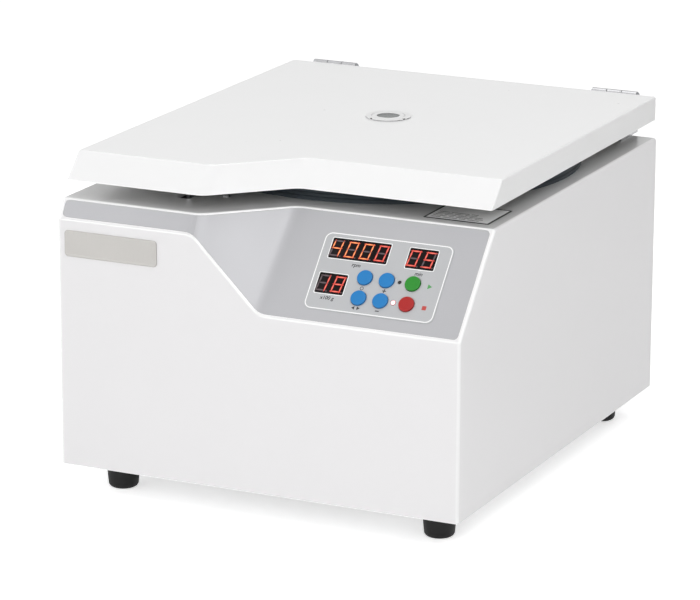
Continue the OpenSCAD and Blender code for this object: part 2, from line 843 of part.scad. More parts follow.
// The board carries the displays and one push switch under each button
module control_board() {
    margin = 1.5;
    switch_w = 6;
    switch_h = 3.4;
    plunger_r = 1.7;
    plunger_top = -wall - move_gap - button_flange - 1 - button_travel - move_gap;
    plug = [24, 9, 5];
    plug_at = [12, 8];
    chip = [14, 14, 3];
    chip_in = [40, 26];
    below = board_n - board_t;
    color("darkgreen") on_panel() difference() {
        union() {
            translate([board_u[0] - post_r - margin, board_v[0] - post_r - margin, below])
                cube([
                    board_u[1] - board_u[0] + 2 * (post_r + margin),
                    board_v[1] - board_v[0] + 2 * (post_r + margin),
                    board_t
                ]);
            for (u = button_u) for (v = button_v) translate([u, v, board_n]) {
                translate([-switch_w / 2, -switch_w / 2, -0.1])
                    cube([switch_w, switch_w, min(switch_h, plunger_top - board_n - 0.2)]);
                cylinder(h = plunger_top - board_n, r = plunger_r);
            }
            translate([board_u[0] + plug_at[0], board_v[0] + plug_at[1], below - plug[2]])
                cube([plug[0], plug[1], plug[2] + 0.1]);
            translate([board_u[1] - chip_in[0], board_v[1] - chip_in[1], below - chip[2]])
                cube([chip[0], chip[1], chip[2] + 0.1]);
        }
        for (u = board_u) for (v = board_v)
            translate([u, v, below - OVERCUT]) cylinder(h = board_t + 2 * OVERCUT, r = screw_r - 0.1);
    }
}

// Chamber

// The bowl's rolled wall, with the rim that lies on the deck
module chamber_bowl() {
    low = z_floor + bowl_bend;
    color("lightgray") translate([0, y_spindle, 0]) rotate_extrude() {
        translate([bowl_r, low]) square([bowl_t, z_deck + bowl_t - low]);
        translate([bowl_r, z_deck]) square([bowl_lip - bowl_r, bowl_t]);
    }
}

// The bowl's pressed floor, turned up at its edge to meet the wall
module bowl_floor() {
    bend = bowl_bend;
    color("lightgray") translate([0, y_spindle, 0]) rotate_extrude() {
        translate([bowl_r - bend, z_floor + bend]) difference() {
            intersection() {
                circle(bend + bowl_t);
                translate([0, -bend - bowl_t]) square(bend + bowl_t);
            }
            circle(bend);
        }
        translate([bowl_hole, z_floor - bowl_t]) square([bowl_r - bend - bowl_hole, bowl_t]);
    }
}

module chamber_seal() {
    top = z_lid - move_gap;
    round_r = 2.5;
    groove_r = 2.2;
    groove_z = 5;
    inner = seal_r - seal_w;
    color("#2d3338") translate([0, y_spindle, 0]) rotate_extrude() difference() {
        union() {
            translate([inner, z_deck]) square([seal_w, top - round_r - z_deck]);
            translate([inner + round_r, top - round_r]) square([seal_w - 2 * round_r, round_r]);
            for (x = [inner + round_r, seal_r - round_r]) translate([x, top - round_r]) circle(round_r);
        }
        translate([inner - OVERCUT, z_deck - OVERCUT])
            square([bowl_lip - inner + OVERCUT, OVERCUT + bowl_t]);
        translate([seal_r + groove_r - 1.4, z_deck + groove_z]) circle(groove_r);
    }
}

module guard_ring() {
    top = z_deck - wall;
    color("gray") translate([0, y_spindle, top - guard_h]) difference() {
        cylinder(h = guard_h, r = guard_r + guard_t);
        translate([0, 0, -OVERCUT]) cylinder(h = guard_h + 2 * OVERCUT, r = guard_r);
    }
}

module bowl_boot() {
    neck = motor_neck_r + fit_gap;
    neck_t = 3;
    flap_over = 4;
    flap_t = 2.5;
    collar_t = 3;
    crease_r = 1.2;
    color("#222222") translate([0, y_spindle, 0]) rotate_extrude() difference() {
        union() {
            translate([neck, z_floor - 7]) square([neck_t, 12]);
            translate([neck, z_floor + fit_gap]) square([bowl_hole + flap_over - motor_neck_r, flap_t]);
            translate([bowl_hole - collar_t, z_floor - 6]) square([collar_t - fit_gap, 7]);
        }
        translate([bowl_hole - 5, z_floor + fit_gap + flap_t + 0.7]) circle(crease_r);
    }
}

// Drive

module motor_body() {
    fins = 4;
    fin_pitch = 9;
    fin_gap = 4;
    fin_low = 8;
    fin_depth = 2.5;
    cap_h = 6;
    cap_r = [motor_r - 2, motor_r - 10];
    color("dimgray") translate([0, y_spindle, 0]) difference() {
        union() {
            translate([0, 0, z_motor]) cylinder(h = z_neck - cap_h - z_motor, r = motor_r);
            translate([0, 0, z_neck - cap_h - 0.1]) cylinder(h = cap_h + 0.1, r1 = cap_r[0], r2 = cap_r[1]);
            translate([0, 0, z_neck - 0.1]) cylinder(h = z_floor - 1 - z_neck, r = motor_neck_r);
        }
        for (i = [0 : fins - 1]) translate([0, 0, z_motor + fin_low + i * fin_pitch]) difference() {
            cylinder(h = fin_gap, r = motor_r + OVERCUT);
            translate([0, 0, -OVERCUT]) cylinder(h = fin_gap + 2 * OVERCUT, r = motor_r - fin_depth);
        }
        translate([0, 0, bearing_low]) cylinder(h = z_deck - bearing_low, r = spindle_r + run_gap);
    }
}

module damper_places() {
    for (a = [30, 150, 270])
        translate([damper_circle * cos(a), y_spindle + damper_circle * sin(a), z_body]) children();
}

module motor_mount() {
    color("silver") difference() {
        translate([0, y_spindle, z_mount]) cylinder(h = mount_t, r = mount_r);
        damper_places() cylinder(h = damper_h + mount_t + OVERCUT, r = stud_r + fit_gap);
    }
}

module rubber_dampers() {
    waist_r = 5;
    color("#222222") damper_places() {
        rotate_extrude() difference() {
            square([damper_r, damper_h]);
            translate([damper_r + waist_r - 3, damper_h / 2]) circle(waist_r);
        }
        cylinder(h = damper_h + mount_t + 5, r = stud_r);
    }
}

module spindle() {
    tip = hub_top + 9;
    point = 1;
    color("silver") translate([0, y_spindle, 0]) {
        translate([0, 0, bearing_low + 1]) cylinder(h = hub_low - bearing_low - 1, r = spindle_r);
        translate([0, 0, hub_low - 0.1]) cylinder(h = tip - hub_low, r = seat_r);
        translate([0, 0, tip - 0.2]) cylinder(h = point + 0.2, r1 = seat_r, r2 = seat_r - point);
    }
}

// The rotor is an H in plan: a hub and cross web, with a long bar at each end of the buckets
module rotor_yoke() {
    arm = pivot_r + 12;
    web_h = 22;
    web_low = 12;
    relief_r = 5.5;
    relief_x = 32;
    color("gainsboro") translate([0, y_spindle, 0]) difference() {
        union() {
            translate([0, 0, hub_low]) cylinder(h = hub_top - hub_low, r = hub_r);
            translate([-web_half, -bar_in - 1, z_pivot - web_low])
                cube([2 * web_half, 2 * bar_in + 2, web_h]);
            for (s = [-1, 1]) translate([0, s * (bar_in + bar_t / 2), z_pivot]) rotate([90, 0, 0])
                translate([0, 0, -bar_t / 2]) linear_extrude(bar_t) union() {
                    square([2 * (arm - bar_h / 2), bar_h], center = true);
                    for (e = [-1, 1]) translate([e * (arm - bar_h / 2), 0]) circle(bar_h / 2);
                }
        }
        translate([0, 0, hub_low - OVERCUT])
            cylinder(h = hub_top - hub_low + 2 * OVERCUT, r = seat_r + run_gap);
        for (sx = [-1, 1]) {
            translate([sx * pivot_r, 0, z_pivot]) rotate([90, 0, 0])
                cylinder(h = 4 * bar_in, r = trunnion_r + run_gap, center = true);
            translate([sx * relief_x, 0, z_pivot]) rotate([90, 0, 0])
                cylinder(h = 4 * bar_in, r = relief_r, center = true);
        }
    }
}

module trunnion_pins() {
    tip = bucket_l / 2 + move_gap;
    head = 2;
    color("silver") translate([0, y_spindle, z_pivot])
        for (sx = [-1, 1]) for (sy = [-1, 1])
            translate([sx * pivot_r, sy * (bar_in + bar_t), 0]) rotate([sy * 90, 0, 0]) {
                cylinder(h = bar_in + bar_t - tip, r = trunnion_r);
                translate([0, 0, -head]) cylinder(h = head, r = trunnion_r + head);
            }
}

module rotor_nut() {
    washer = [12, 2];
    barrel = [9.5, 14];
    wings = [26, 5, 5];
    wings_z = 12;
    bore = 11.5;
    color("silver") translate([0, y_spindle, hub_top]) difference() {
        union() {
            cylinder(h = washer[1], r = washer[0]);
            translate([0, 0, washer[1] - 0.1]) cylinder(h = barrel[1], r = barrel[0]);
            for (a = [0, 90]) rotate(a) translate([-wings[0] / 2, -wings[1] / 2, wings_z]) cube(wings);
        }
        translate([0, 0, -OVERCUT]) cylinder(h = bore + OVERCUT, r = seat_r + run_gap);
    }
}

// One bucket: an open tray for a plate, with ears that hook over the trunnion pins
module bucket(side) {
    low = -bucket_drop - bucket_t;
    height = bucket_drop + bucket_t + bucket_rise;
    ear_w = 18;
    ear_low = 16;
    hook = trunnion_r + run_gap;
    hook_l = 17;
    notch = [38, 10];
    notch_r = 8;
    relief = [24, 40];
    relief_r = 7;
    color("lightsteelblue") translate([side * pivot_r, y_spindle, z_pivot]) difference() {
        union() {
            translate([0, 0, low]) rounded_slab(bucket_w, bucket_l, height, 5);
            for (sy = [-1, 1])
                translate([-ear_w / 2, sy * (bucket_l / 2 + ear_t / 2 - 0.05) - ear_t / 2, -ear_low])
                    cube([ear_w, ear_t + 0.05, ear_low + bucket_rise]);
        }
        translate([0, 0, -bucket_drop])
            rounded_slab(bucket_in_w, bucket_in_l, height, 2.5);
        for (sy = [-1, 1]) translate([0, sy * (bucket_l / 2 + ear_t + 0.5), 0]) rotate([sy * 90, 0, 0]) {
            cylinder(h = ear_t + 0.5, r = hook);
            translate([-hook, -hook_l * sy - (sy < 0 ? hook_l : 0), 0])
                cube([2 * hook, hook_l, ear_t + 0.5]);
        }
        for (sx = [-1, 1]) translate([sx * bucket_w / 2, 0, bucket_rise]) rotate([0, 90, 0])
            translate([0, 0, -bucket_t - OVERCUT]) linear_extrude(2 * bucket_t + 2 * OVERCUT) union() {
                translate([-OVERCUT, -notch[0] / 2]) square([notch[1] + OVERCUT, notch[0]]);
                translate([notch[1] - 0.1, notch_r - notch[0] / 2])
                    square([notch_r + 0.1, notch[0] - 2 * notch_r]);
                for (s = [-1, 1]) translate([notch[1], s * (notch[0] / 2 - notch_r)]) circle(notch_r);
            }
        for (x = [-1, 0, 1]) for (y = [-1, 0, 1])
            translate([x * relief[0], y * relief[1], low - OVERCUT])
                cylinder(h = bucket_t + 2 * OVERCUT, r = relief_r);
    }
}

// Lid

module lid_shell() {
    color("white") difference() {
        loft([
            for (x = stations(lid_half, lid_edge_r))
                let (t = corner_inset(x, lid_half, lid_edge_r))
                lid_section(x, t, lid_edge_r, z_lid, z_top - t)
        ]);
        loft([
            for (x = stations(lid_half - lid_wall, 0))
                lid_section(x, lid_wall, 0, z_lid - OVERCUT, z_top - lid_wall)
        ]);
        translate([0, y_spindle, z_lid]) cylinder(h = lid_t + OVERCUT, r = glass_r + 1 + fit_gap);
    }
}

module lid_liner() {
    t = lid_wall + fit_gap;
    color("whitesmoke") difference() {
        loft([for (x = stations(lid_half - t, 0)) lid_section(x, t, 0, z_lid, z_lid + liner_t)]);
        translate([0, y_spindle, z_lid - OVERCUT]) cylinder(h = liner_t + 2 * OVERCUT, r = sight_r);
    }
}

// A snap-in ring with three release notches, a step that the glass lies on, and a short tube
// down to the liner
module window_ring() {
    flange_t = 1.2;
    draft = 0.6;
    step_t = 1.2;
    tube_h = z_top - z_lid - liner_t;
    notch = [1.6, 2.6];
    color("white") translate([0, y_spindle, z_top]) difference() {
        union() {
            cylinder(h = flange_t, r1 = window_r, r2 = window_r - draft);
            translate([0, 0, -tube_h]) cylinder(h = tube_h + 0.1, r = glass_r + 1);
        }
        translate([0, 0, -tube_h - OVERCUT])
            cylinder(h = tube_h - glass_deep - step_t + OVERCUT, r = glass_r - 1);
        translate([0, 0, -glass_deep - step_t - OVERCUT])
            cylinder(h = step_t + 2 * OVERCUT, r = sight_r);
        translate([0, 0, -glass_deep]) cylinder(h = glass_deep + flange_t + OVERCUT, r = glass_r);
        for (a = [215, 245, 340]) rotate(a) translate([window_r - notch[0], -notch[1] / 2, -0.05])
            cube([2 * notch[0], notch[1], flange_t + OVERCUT]);
    }
}

module sight_glass() {
    proud = 0.4;
    color("aliceblue", 0.5) translate([0, y_spindle, z_top - glass_deep])
        cylinder(h = glass_deep + proud, r = glass_r - fit_gap / 2);
}

module lid_hook() {
    reach = z_lid - hook_drop;
    flange = 7;
    flange_t = 2;
    eye_slack = 0.7;
    nose = 4;
    color("silver") translate([-lock_x - hook_t / 2, lock_y - hook_l / 2, 0]) {
        difference() {
            union() {
                translate([0, 0, reach]) cube([hook_t, hook_l, hook_drop]);
                translate([-flange, 0, z_lid - flange_t])
                    cube([hook_t + 2 * flange, hook_l, flange_t]);
            }
            translate([-OVERCUT, hook_l / 2, z_bolt]) rotate([0, 90, 0])
                cylinder(h = hook_t + 2 * OVERCUT, r = bolt_r + eye_slack);
            translate([-OVERCUT, -0.1, reach - 0.1]) rotate([0, 90, 0]) linear_extrude(hook_t + 2 * OVERCUT)
                polygon([[0.1, -1], [0.1, nose], [-nose, 0], [-nose, -1]]);
        }
    }
}

// Hinges

module along_hinge(length) {
    translate([-length / 2, y_hinge, z_hinge]) rotate([0, 90, 0]) cylinder(h = length, r = hinge_r);
}

module pin_hole() {
    translate([-hinge_w, y_hinge, z_hinge]) rotate([0, 90, 0]) cylinder(h = 2 * hinge_w, r = pin_bore);
}

module hinge_base(side) {
    riser = y_hinge + hinge_r - leaf_t;
    color("gainsboro") translate([side * hinge_x, 0, 0]) difference() {
        union() {
            translate([-hinge_w / 2, y_rear - shelf_lap, z_deck])
                cube([hinge_w, riser + leaf_t - y_rear + shelf_lap, shelf_t]);
            translate([-hinge_w / 2, riser, z_deck]) cube([hinge_w, leaf_t, z_hinge - z_deck]);
            along_hinge(hinge_w);
        }
        pin_hole();
        translate([-knuckle / 2 - move_gap, y_hinge - 2 * hinge_r, z_hinge - hinge_r - 2 * move_gap])
            cube([knuckle + 2 * move_gap, 4 * hinge_r, 4 * hinge_r]);
        for (s = [-1, 1]) translate([s * hinge_screw_x, hinge_screw_y, z_deck - OVERCUT])
            cylinder(h = shelf_t + 2 * OVERCUT, r = screw_r + screw_slack);
    }
}

module hinge_leaf(side) {
    color("gainsboro") translate([side * hinge_x, 0, 0]) difference() {
        union() {
            translate([-hinge_w / 2, y_lid_rear, z_lid + 1]) cube([hinge_w, leaf_t, z_hinge - z_lid - 1]);
            along_hinge(knuckle);
        }
        pin_hole();
        for (s = [-1, 1]) {
            translate([
                s * hinge_w / 3 - knuckle / 2 - move_gap, y_lid_rear - OVERCUT, z_hinge - hinge_r - 1
            ])
                cube([knuckle + 2 * move_gap - (s > 0 ? move_gap : 0), 4 * hinge_r, 4 * hinge_r]);
            translate([s * hinge_screw_x, y_lid_rear - OVERCUT, leaf_screw_z]) rotate([-90, 0, 0])
                cylinder(h = leaf_t + 2 * OVERCUT, r = screw_r + screw_slack);
        }
    }
}

module hinge_pins() {
    head = 1.2;
    color("dimgray") for (sx = [-1, 1])
        translate([sx * hinge_x - hinge_w / 2, y_hinge, z_hinge]) rotate([0, 90, 0]) {
            cylinder(h = hinge_w + 0.1, r = pin_r);
            translate([0, 0, hinge_w]) cylinder(h = head, r = hinge_r - 0.8);
            translate([0, 0, -head]) cylinder(h = head + 0.1, r = pin_r);
        }
}

module hinge_base_screws() {
    color("silver") hinge_screw_places() translate([0, 0, shelf_t])
        pan_screw(shelf_t + wall + screw_grip, screw_r);
}

module hinge_leaf_screws() {
    color("silver") for (sx = [-1, 1]) for (s = [-1, 1])
        translate([sx * hinge_x + s * hinge_screw_x, y_lid_rear + leaf_t, leaf_screw_z])
            rotate([-90, 0, 0]) pan_screw(leaf_t - 0.1, screw_r);
}

// Lid lock

module lock_frame() {
    top = z_deck - wall;
    end_in = 2;
    bridge_t = 3;
    color("silver") translate([-lock_x, lock_y, 0]) difference() {
        union() {
            for (s = [-1, 1])
                translate([s * (cheek_gap + cheek_t / 2) - cheek_t / 2, end_in - slot_l / 2, top - cheek_h])
                    cube([cheek_t, slot_l - 2 * end_in, cheek_h]);
            translate([-cheek_gap - cheek_t, slot_l / 2 - end_in, top - cheek_h])
                cube([2 * (cheek_gap + cheek_t), bridge_t, cheek_h]);
        }
        translate([-slot_w, 0, z_bolt]) rotate([0, 90, 0]) cylinder(h = 2 * slot_w, r = bolt_r + run_gap);
    }
}

module lock_solenoid() {
    face = cheek_gap + cheek_t;
    half = 12;
    end_t = 3;
    window = [4, 1.5, 5];
    color("dimgray") translate([-lock_x + face, lock_y, z_bolt]) difference() {
        translate([0, -half, -half]) cube([solenoid_l, 2 * half, 2 * half]);
        translate([-OVERCUT, 0, 0]) rotate([0, 90, 0])
            cylinder(h = solenoid_l - end_t + OVERCUT, r = bolt_r + run_gap);
        for (sy = [-1, 1]) translate([window[0], sy * half - window[1], -half - OVERCUT])
            cube([solenoid_l - 2 * window[0], 2 * window[1], window[2] + OVERCUT]);
    }
}

module lock_bolt() {
    color("silver") translate([-lock_x + bolt_rest, lock_y, z_bolt]) rotate([0, 90, 0])
        cylinder(h = bolt_l, r = bolt_r);
}

// Electrics

module drive_board() {
    size = [150, 60];
    at = [-150, y_front + 24, z_body];
    post = [3.5, 8];
    post_in = 7;
    face = post[1] + board_t - 0.1;
    capacitor = [10, 32];
    capacitor_at = [22, 16, 26];
    sink = [40, 6, 42];
    sink_at = [98, 8];
    fin = [2, 14, 42];
    fin_pitch = 7.6;
    blocks = [[14, 36, 34, 18, 20], [60, 38, 28, 14, 14]];
    color("darkgreen") translate(at) {
        for (x = [post_in, size[0] - post_in]) for (y = [post_in, size[1] - post_in])
            translate([x, y, 0]) cylinder(h = post[1] + 0.1, r = post[0]);
        translate([0, 0, post[1]]) cube([size[0], size[1], board_t]);
        for (i = [0 : 2]) translate([capacitor_at[0] + i * capacitor_at[2], capacitor_at[1], face])
            cylinder(h = capacitor[1], r = capacitor[0]);
        translate([sink_at[0], sink_at[1], face]) cube(sink);
        for (i = [0 : 5]) translate([sink_at[0] + i * fin_pitch, sink_at[1] + sink[1] - 0.1, face])
            cube(fin);
        for (b = blocks) translate([b[0], b[1], face]) cube([b[2], b[3], b[4]]);
    }
}

// Rear fittings

module power_inlet() {
    flange = [50, 24];
    socket = [24.2, 16.6];
    socket_depth = 17;
    screw_x = 20;
    pin = [2, 4];
    pin_l = 13;
    pin_at = [[-7, -2], [0, 2], [7, -2]];
    color("#202020") on_rear(inlet_x) {
        difference() {
            union() {
                translate([0, 0, -bezel_t]) rounded_slab(flange[0], flange[1], bezel_t, 4);
                translate([0, 0, -0.1]) rounded_slab(inlet_body[0], inlet_body[1], inlet_depth, 3);
            }
            translate([0, 0, -bezel_t - OVERCUT])
                rounded_slab(socket[0], socket[1], socket_depth + bezel_t + OVERCUT, 4);
            for (s = [-1, 1]) translate([s * screw_x, 0, -bezel_t - OVERCUT])
                cylinder(h = bezel_t + 2 * OVERCUT, r = screw_r + 0.1);
        }
        for (p = pin_at)
            translate([p[0] - pin[0] / 2, p[1] - pin[1] / 2, socket_depth - pin_l - 2])
                cube([pin[0], pin[1], pin_l + 2.1]);
    }
}

module switch_frame() {
    body_l = 18;
    open = [rocker[0] + 1.6, rocker[1] + 3.6, 16];
    color("#202020") on_rear(switch_x) difference() {
        union() {
            translate([0, 0, -bezel_t]) rounded_slab(switch_bezel[0], switch_bezel[1], bezel_t, 2);
            translate([0, 0, -0.1]) rounded_slab(switch_body[0], switch_body[1], body_l, 1);
        }
        translate([-open[0] / 2, -open[1] / 2, -bezel_t - OVERCUT])
            cube([open[0], open[1], open[2] + OVERCUT]);
        translate([0, 0, rocker_drop]) rotate([0, 90, 0])
            cylinder(h = rocker[0] + 5.2, r = rocker_pin_r + run_gap, center = true);
    }
}

// The rocker is pressed in at its upper end, and its face is hollowed
module power_rocker() {
    face = 7;
    depth = 10;
    hollow_r = 40;
    color("#202020") on_rear(switch_x) translate([0, 0, rocker_drop]) {
        rotate([rocker_lean, 0, 0]) difference() {
            translate([-rocker[0] / 2, -rocker[1] / 2, -face]) cube([rocker[0], rocker[1], depth]);
            translate([-rocker[0] / 2 - OVERCUT, 0, 1.2 - face - hollow_r]) rotate([0, 90, 0])
                cylinder(h = rocker[0] + 2 * OVERCUT, r = hollow_r);
        }
        rotate([0, 90, 0]) cylinder(h = rocker[0] + 5, r = rocker_pin_r, center = true);
    }
}

module fuse_holder() {
    flange_r = 9;
    body_l = 30;
    cap = [5.5, 6.5, 6];
    slot = [14, 1.2, 1.5];
    color("#202020") on_rear(fuse_x) {
        translate([0, 0, -bezel_t]) cylinder(h = bezel_t, r = flange_r);
        translate([0, 0, -0.1]) cylinder(h = body_l, r = fuse_r);
        difference() {
            translate([0, 0, -bezel_t - cap[2]]) cylinder(h = cap[2] + 0.1, r1 = cap[0], r2 = cap[1]);
            translate([-slot[0] / 2, -slot[1] / 2, -bezel_t - cap[2] - OVERCUT])
                cube([slot[0], slot[1], slot[2] + OVERCUT]);
        }
    }
}

casing();
rear_panel();
mains_plate();
base_plate();
fascia_film();
control_overlay();
display(speed_at, 4);  // speed_display
display(time_at, 2);  // time_display
display(rcf_at, 2);  // rcf_display
indicator_leds();
control_board();
name_plate();
deck_label();
deck_screw();
button(0, 0, "#2a8fdc");  // button_set
button(1, 0, "#2a8fdc");  // button_plus
button(2, 0, "#2f9a30");  // button_start
button(0, 1, "#2a8fdc");  // button_mode
button(1, 1, "#2a8fdc");  // button_minus
button(2, 1, "#d32323");  // button_stop
chamber_seal();
chamber_bowl();
bowl_floor();
guard_ring();
bowl_boot();
motor_body();
motor_mount();
rubber_dampers();
spindle();
rotor_yoke();
trunnion_pins();
rotor_nut();
bucket(1);  // bucket_a
bucket(-1);  // bucket_b
lid_shell();
lid_liner();
window_ring();
sight_glass();
lid_hook();
hinge_base(-1);  // hinge_base_left
hinge_base(1);  // hinge_base_right
hinge_leaf(-1);  // hinge_leaf_left
hinge_leaf(1);  // hinge_leaf_right
hinge_pins();
hinge_base_screws();
hinge_leaf_screws();
lock_frame();
lock_solenoid();
lock_bolt();
drive_board();
power_inlet();
switch_frame();
power_rocker();
fuse_holder();
foot(0);  // foot_front_left
foot(1);  // foot_front_right
foot(2);  // foot_rear_left
foot(3);  // foot_rear_right
base_screws();
rear_screws();
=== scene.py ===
"""Looks of a bench centrifuge for microplates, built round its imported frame.

Everything is in metres, with +X to the instrument's right, +Y to its rear and +Z up.
"""
import json
import math

import bmesh
import bpy
from mathutils import Matrix, Vector
from mathutils.bvhtree import BVHTree

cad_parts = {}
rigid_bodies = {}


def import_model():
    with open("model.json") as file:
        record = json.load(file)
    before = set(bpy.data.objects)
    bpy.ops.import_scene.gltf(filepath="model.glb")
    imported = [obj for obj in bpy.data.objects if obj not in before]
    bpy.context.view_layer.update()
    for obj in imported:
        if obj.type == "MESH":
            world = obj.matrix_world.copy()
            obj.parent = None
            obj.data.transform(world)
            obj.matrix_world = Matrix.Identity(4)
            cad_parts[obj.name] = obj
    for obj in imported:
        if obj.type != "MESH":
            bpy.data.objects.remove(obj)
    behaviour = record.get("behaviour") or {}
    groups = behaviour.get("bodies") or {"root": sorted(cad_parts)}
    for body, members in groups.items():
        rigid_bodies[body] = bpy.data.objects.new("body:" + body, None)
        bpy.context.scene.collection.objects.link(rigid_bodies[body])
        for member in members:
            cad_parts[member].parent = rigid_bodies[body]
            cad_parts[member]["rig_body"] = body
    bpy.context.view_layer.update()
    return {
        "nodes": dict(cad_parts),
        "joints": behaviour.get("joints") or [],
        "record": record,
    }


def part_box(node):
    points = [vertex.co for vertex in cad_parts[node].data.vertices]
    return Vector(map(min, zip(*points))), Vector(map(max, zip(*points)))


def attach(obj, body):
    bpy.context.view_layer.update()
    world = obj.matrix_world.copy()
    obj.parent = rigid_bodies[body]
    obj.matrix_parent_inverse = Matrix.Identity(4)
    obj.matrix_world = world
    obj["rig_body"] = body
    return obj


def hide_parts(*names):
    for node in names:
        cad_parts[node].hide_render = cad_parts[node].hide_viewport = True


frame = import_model()
nodes = frame["nodes"]
scene = bpy.context.scene
MM = 0.001

# Camera
scene.view_settings.view_transform = "Standard"
camera = bpy.data.objects.new("camera", bpy.data.cameras.new("camera"))
scene.collection.objects.link(camera)
camera.data.sensor_width = 36
camera.data.lens = 194.42
camera.data.clip_end = 20
EYE = Vector((1.3158, -2.8182, 1.0030))
AIM = Vector((-0.0155, -0.00695, 0.1350))
ROLL = math.radians(0.21)
look = (AIM - EYE).to_track_quat("-Z", "Y").to_matrix().to_4x4()
camera.matrix_world = Matrix.Translation(EYE) @ look @ Matrix.Rotation(ROLL, 4, "Z")
scene.camera = camera


# Shader maths
class Value:
    """A socket's number. An expression on it adds its Math nodes to the paint."""

    def __init__(self, paint, socket):
        self.paint, self.socket = paint, socket

    def math(self, operation, first, second=0.0):
        return self.paint.node("ShaderNodeMath", {"operation": operation}, first, second)

    def __add__(self, other):
        return self.math("ADD", self, other)

    def __sub__(self, other):
        return self.math("SUBTRACT", self, other)

    def __rsub__(self, other):
        return self.math("SUBTRACT", other, self)

    def __mul__(self, other):
        return self.math("MULTIPLY", self, other)

    __radd__ = __add__
    __rmul__ = __mul__

    def least(self, other):
        return self.math("MINIMUM", self, other)

    def most(self, other):
        return self.math("MAXIMUM", self, other)

    def band(self, low, high):
        """0 below low, 1 above high, and a smooth climb between them."""
        return self.paint.node(
            "ShaderNodeMapRange", {"interpolation_type": "SMOOTHSTEP"}, self, low, high
        )


class Paint:
    """A material with one Principled shader, and the means to add nodes to it."""

    def __init__(self, name, colour, rough=0.5, metal=0.0, **settings):
        self.material = bpy.data.materials.new(name)
        self.material.use_nodes = True
        self.tree = self.material.node_tree
        self.shader = self.tree.nodes["Principled BSDF"]
        self.shader.inputs["Base Color"].default_value = tint(colour)
        self.shader.inputs["Roughness"].default_value = rough
        self.shader.inputs["Metallic"].default_value = metal
        for key, value in settings.items():
            self.shader.inputs[key.replace("_", " ")].default_value = value
        self.bump = None
        self.place = self.node("ShaderNodeTexCoord", {}, out="Object")

    def node(self, kind, settings, *values, out=0, **named):
        """Adds a node: its settings first, then its sockets in order or by name."""
        made = self.tree.nodes.new(kind)
        for key, value in settings.items():
            setattr(made, key, value)
        for key, value in [*enumerate(values), *named.items()]:
            socket = made.inputs[key.replace("_", " ") if isinstance(key, str) else key]
            if isinstance(value, Value):
                self.tree.links.new(value.socket, socket)
            else:
                socket.default_value = value
        return Value(self, made.outputs[out])

    def put(self, socket, value):
        self.tree.links.new(value.socket, self.shader.inputs[socket])
        return self

    def at(self):
        """The place's own x, y and z, in metres."""
        split = self.node("ShaderNodeSeparateXYZ", {}, self.place).socket.node
        return [Value(self, output) for output in split.outputs]

    def noise(self, pitch, detail=2.0, stretch=(1, 1, 1), rough=0.5):
        """Noise of a pitch in millimetres, from 0 to 1."""
        place = self.node("ShaderNodeMapping", {}, self.place, Scale=stretch)
        return self.node(
            "ShaderNodeTexNoise", {}, place, Scale=1000 / pitch, Detail=detail, Roughness=rough
        )

    def blend(self, mask, first, second):
        """A colour that goes from the first to the second as the mask goes from 0 to 1."""
        first, second = (c if isinstance(c, Value) else tint(c) for c in (first, second))
        made = self.tree.nodes.new("ShaderNodeMix")
        made.data_type = "RGBA"
        for socket, value in ((0, mask), (6, first), (7, second)):
            if isinstance(value, Value):
                self.tree.links.new(value.socket, made.inputs[socket])
            else:
                made.inputs[socket].default_value = value
        return Value(self, made.outputs[2])

    def relief(self, height, depth):
        """Adds a relief of a depth in millimetres to what the bump has so far."""
        named = {"Height": height, "Distance": depth * MM}
        if self.bump is not None:
            named["Normal"] = self.bump
        self.bump = self.node("ShaderNodeBump", {}, **named)
        return self.put("Normal", self.bump)

    def edge(self, radius, full=0.25):
        """1 along edges of the piece, falling to 0 a radius in millimetres away."""
        round_way = self.node("ShaderNodeBevel", {"samples": 4}, Radius=radius * MM)
        true_way = self.node("ShaderNodeNewGeometry", {}, out="Normal")
        same = self.node("ShaderNodeVectorMath", {"operation": "DOT_PRODUCT"},
                         round_way, true_way, out="Value")
        return (1 - same).band(full / 25, full)


def tint(colour):
    """A colour written as hex, in linear light."""
    if not isinstance(colour, str):
        return (*colour[:3], 1.0)
    parts = [int(colour[i:i + 2], 16) / 255 for i in (1, 3, 5)]
    return (*[c / 12.92 if c < 0.04045 else ((c + 0.055) / 1.055) ** 2.4 for c in parts], 1.0)


# Finishes
def powder_coat(name, colour, peel=0.010, rough=0.34, coat=0.3):
    """A sprayed and baked coat: faint orange peel, a little dust, edges lightened by a painted
    highlight, and rubbed spots along them that are rougher.
    """
    paint = Paint(name, colour, rough, Coat_Weight=coat, Coat_Roughness=0.12)
    cloud = paint.noise(60, 3)
    rim = paint.edge(1.6, 0.06)
    worn = rim * paint.noise(4, 4).band(0.45, 0.75)
    # The base colour goes lighter along the edges: a painted highlight.
    paint.put("Base Color", paint.blend(
        rim * 0.75, paint.blend(cloud, colour, shade(colour, 0.985)), shade(colour, 1.3)))
    paint.put("Roughness", rough + (paint.noise(9, 3) - 0.5) * 0.10 + worn * 0.1)
    paint.relief(paint.noise(1.6, 2), peel)
    return paint.material


def shade(colour, share):
    """The same colour, lighter or darker by a share of its light."""
    return tuple(min(1.0, c * share) for c in tint(colour)[:3])


def plastic(name, colour, rough=0.4, grain=0.012, pitch=0.7, **settings):
    """A moulded plastic with a fine eroded texture and edges rubbed smooth."""
    paint = Paint(name, colour, rough, **settings)
    worn = paint.edge(0.5)
    cloud = paint.noise(22, 3)
    paint.put("Base Color", paint.blend(
        worn * 0.35, paint.blend(cloud, shade(colour, 0.93), colour), shade(colour, 1.35)))
    paint.put("Roughness", rough + (cloud - 0.5) * 0.12 - worn * 0.08)
    paint.relief(paint.noise(pitch, 3), grain)
    return paint.material


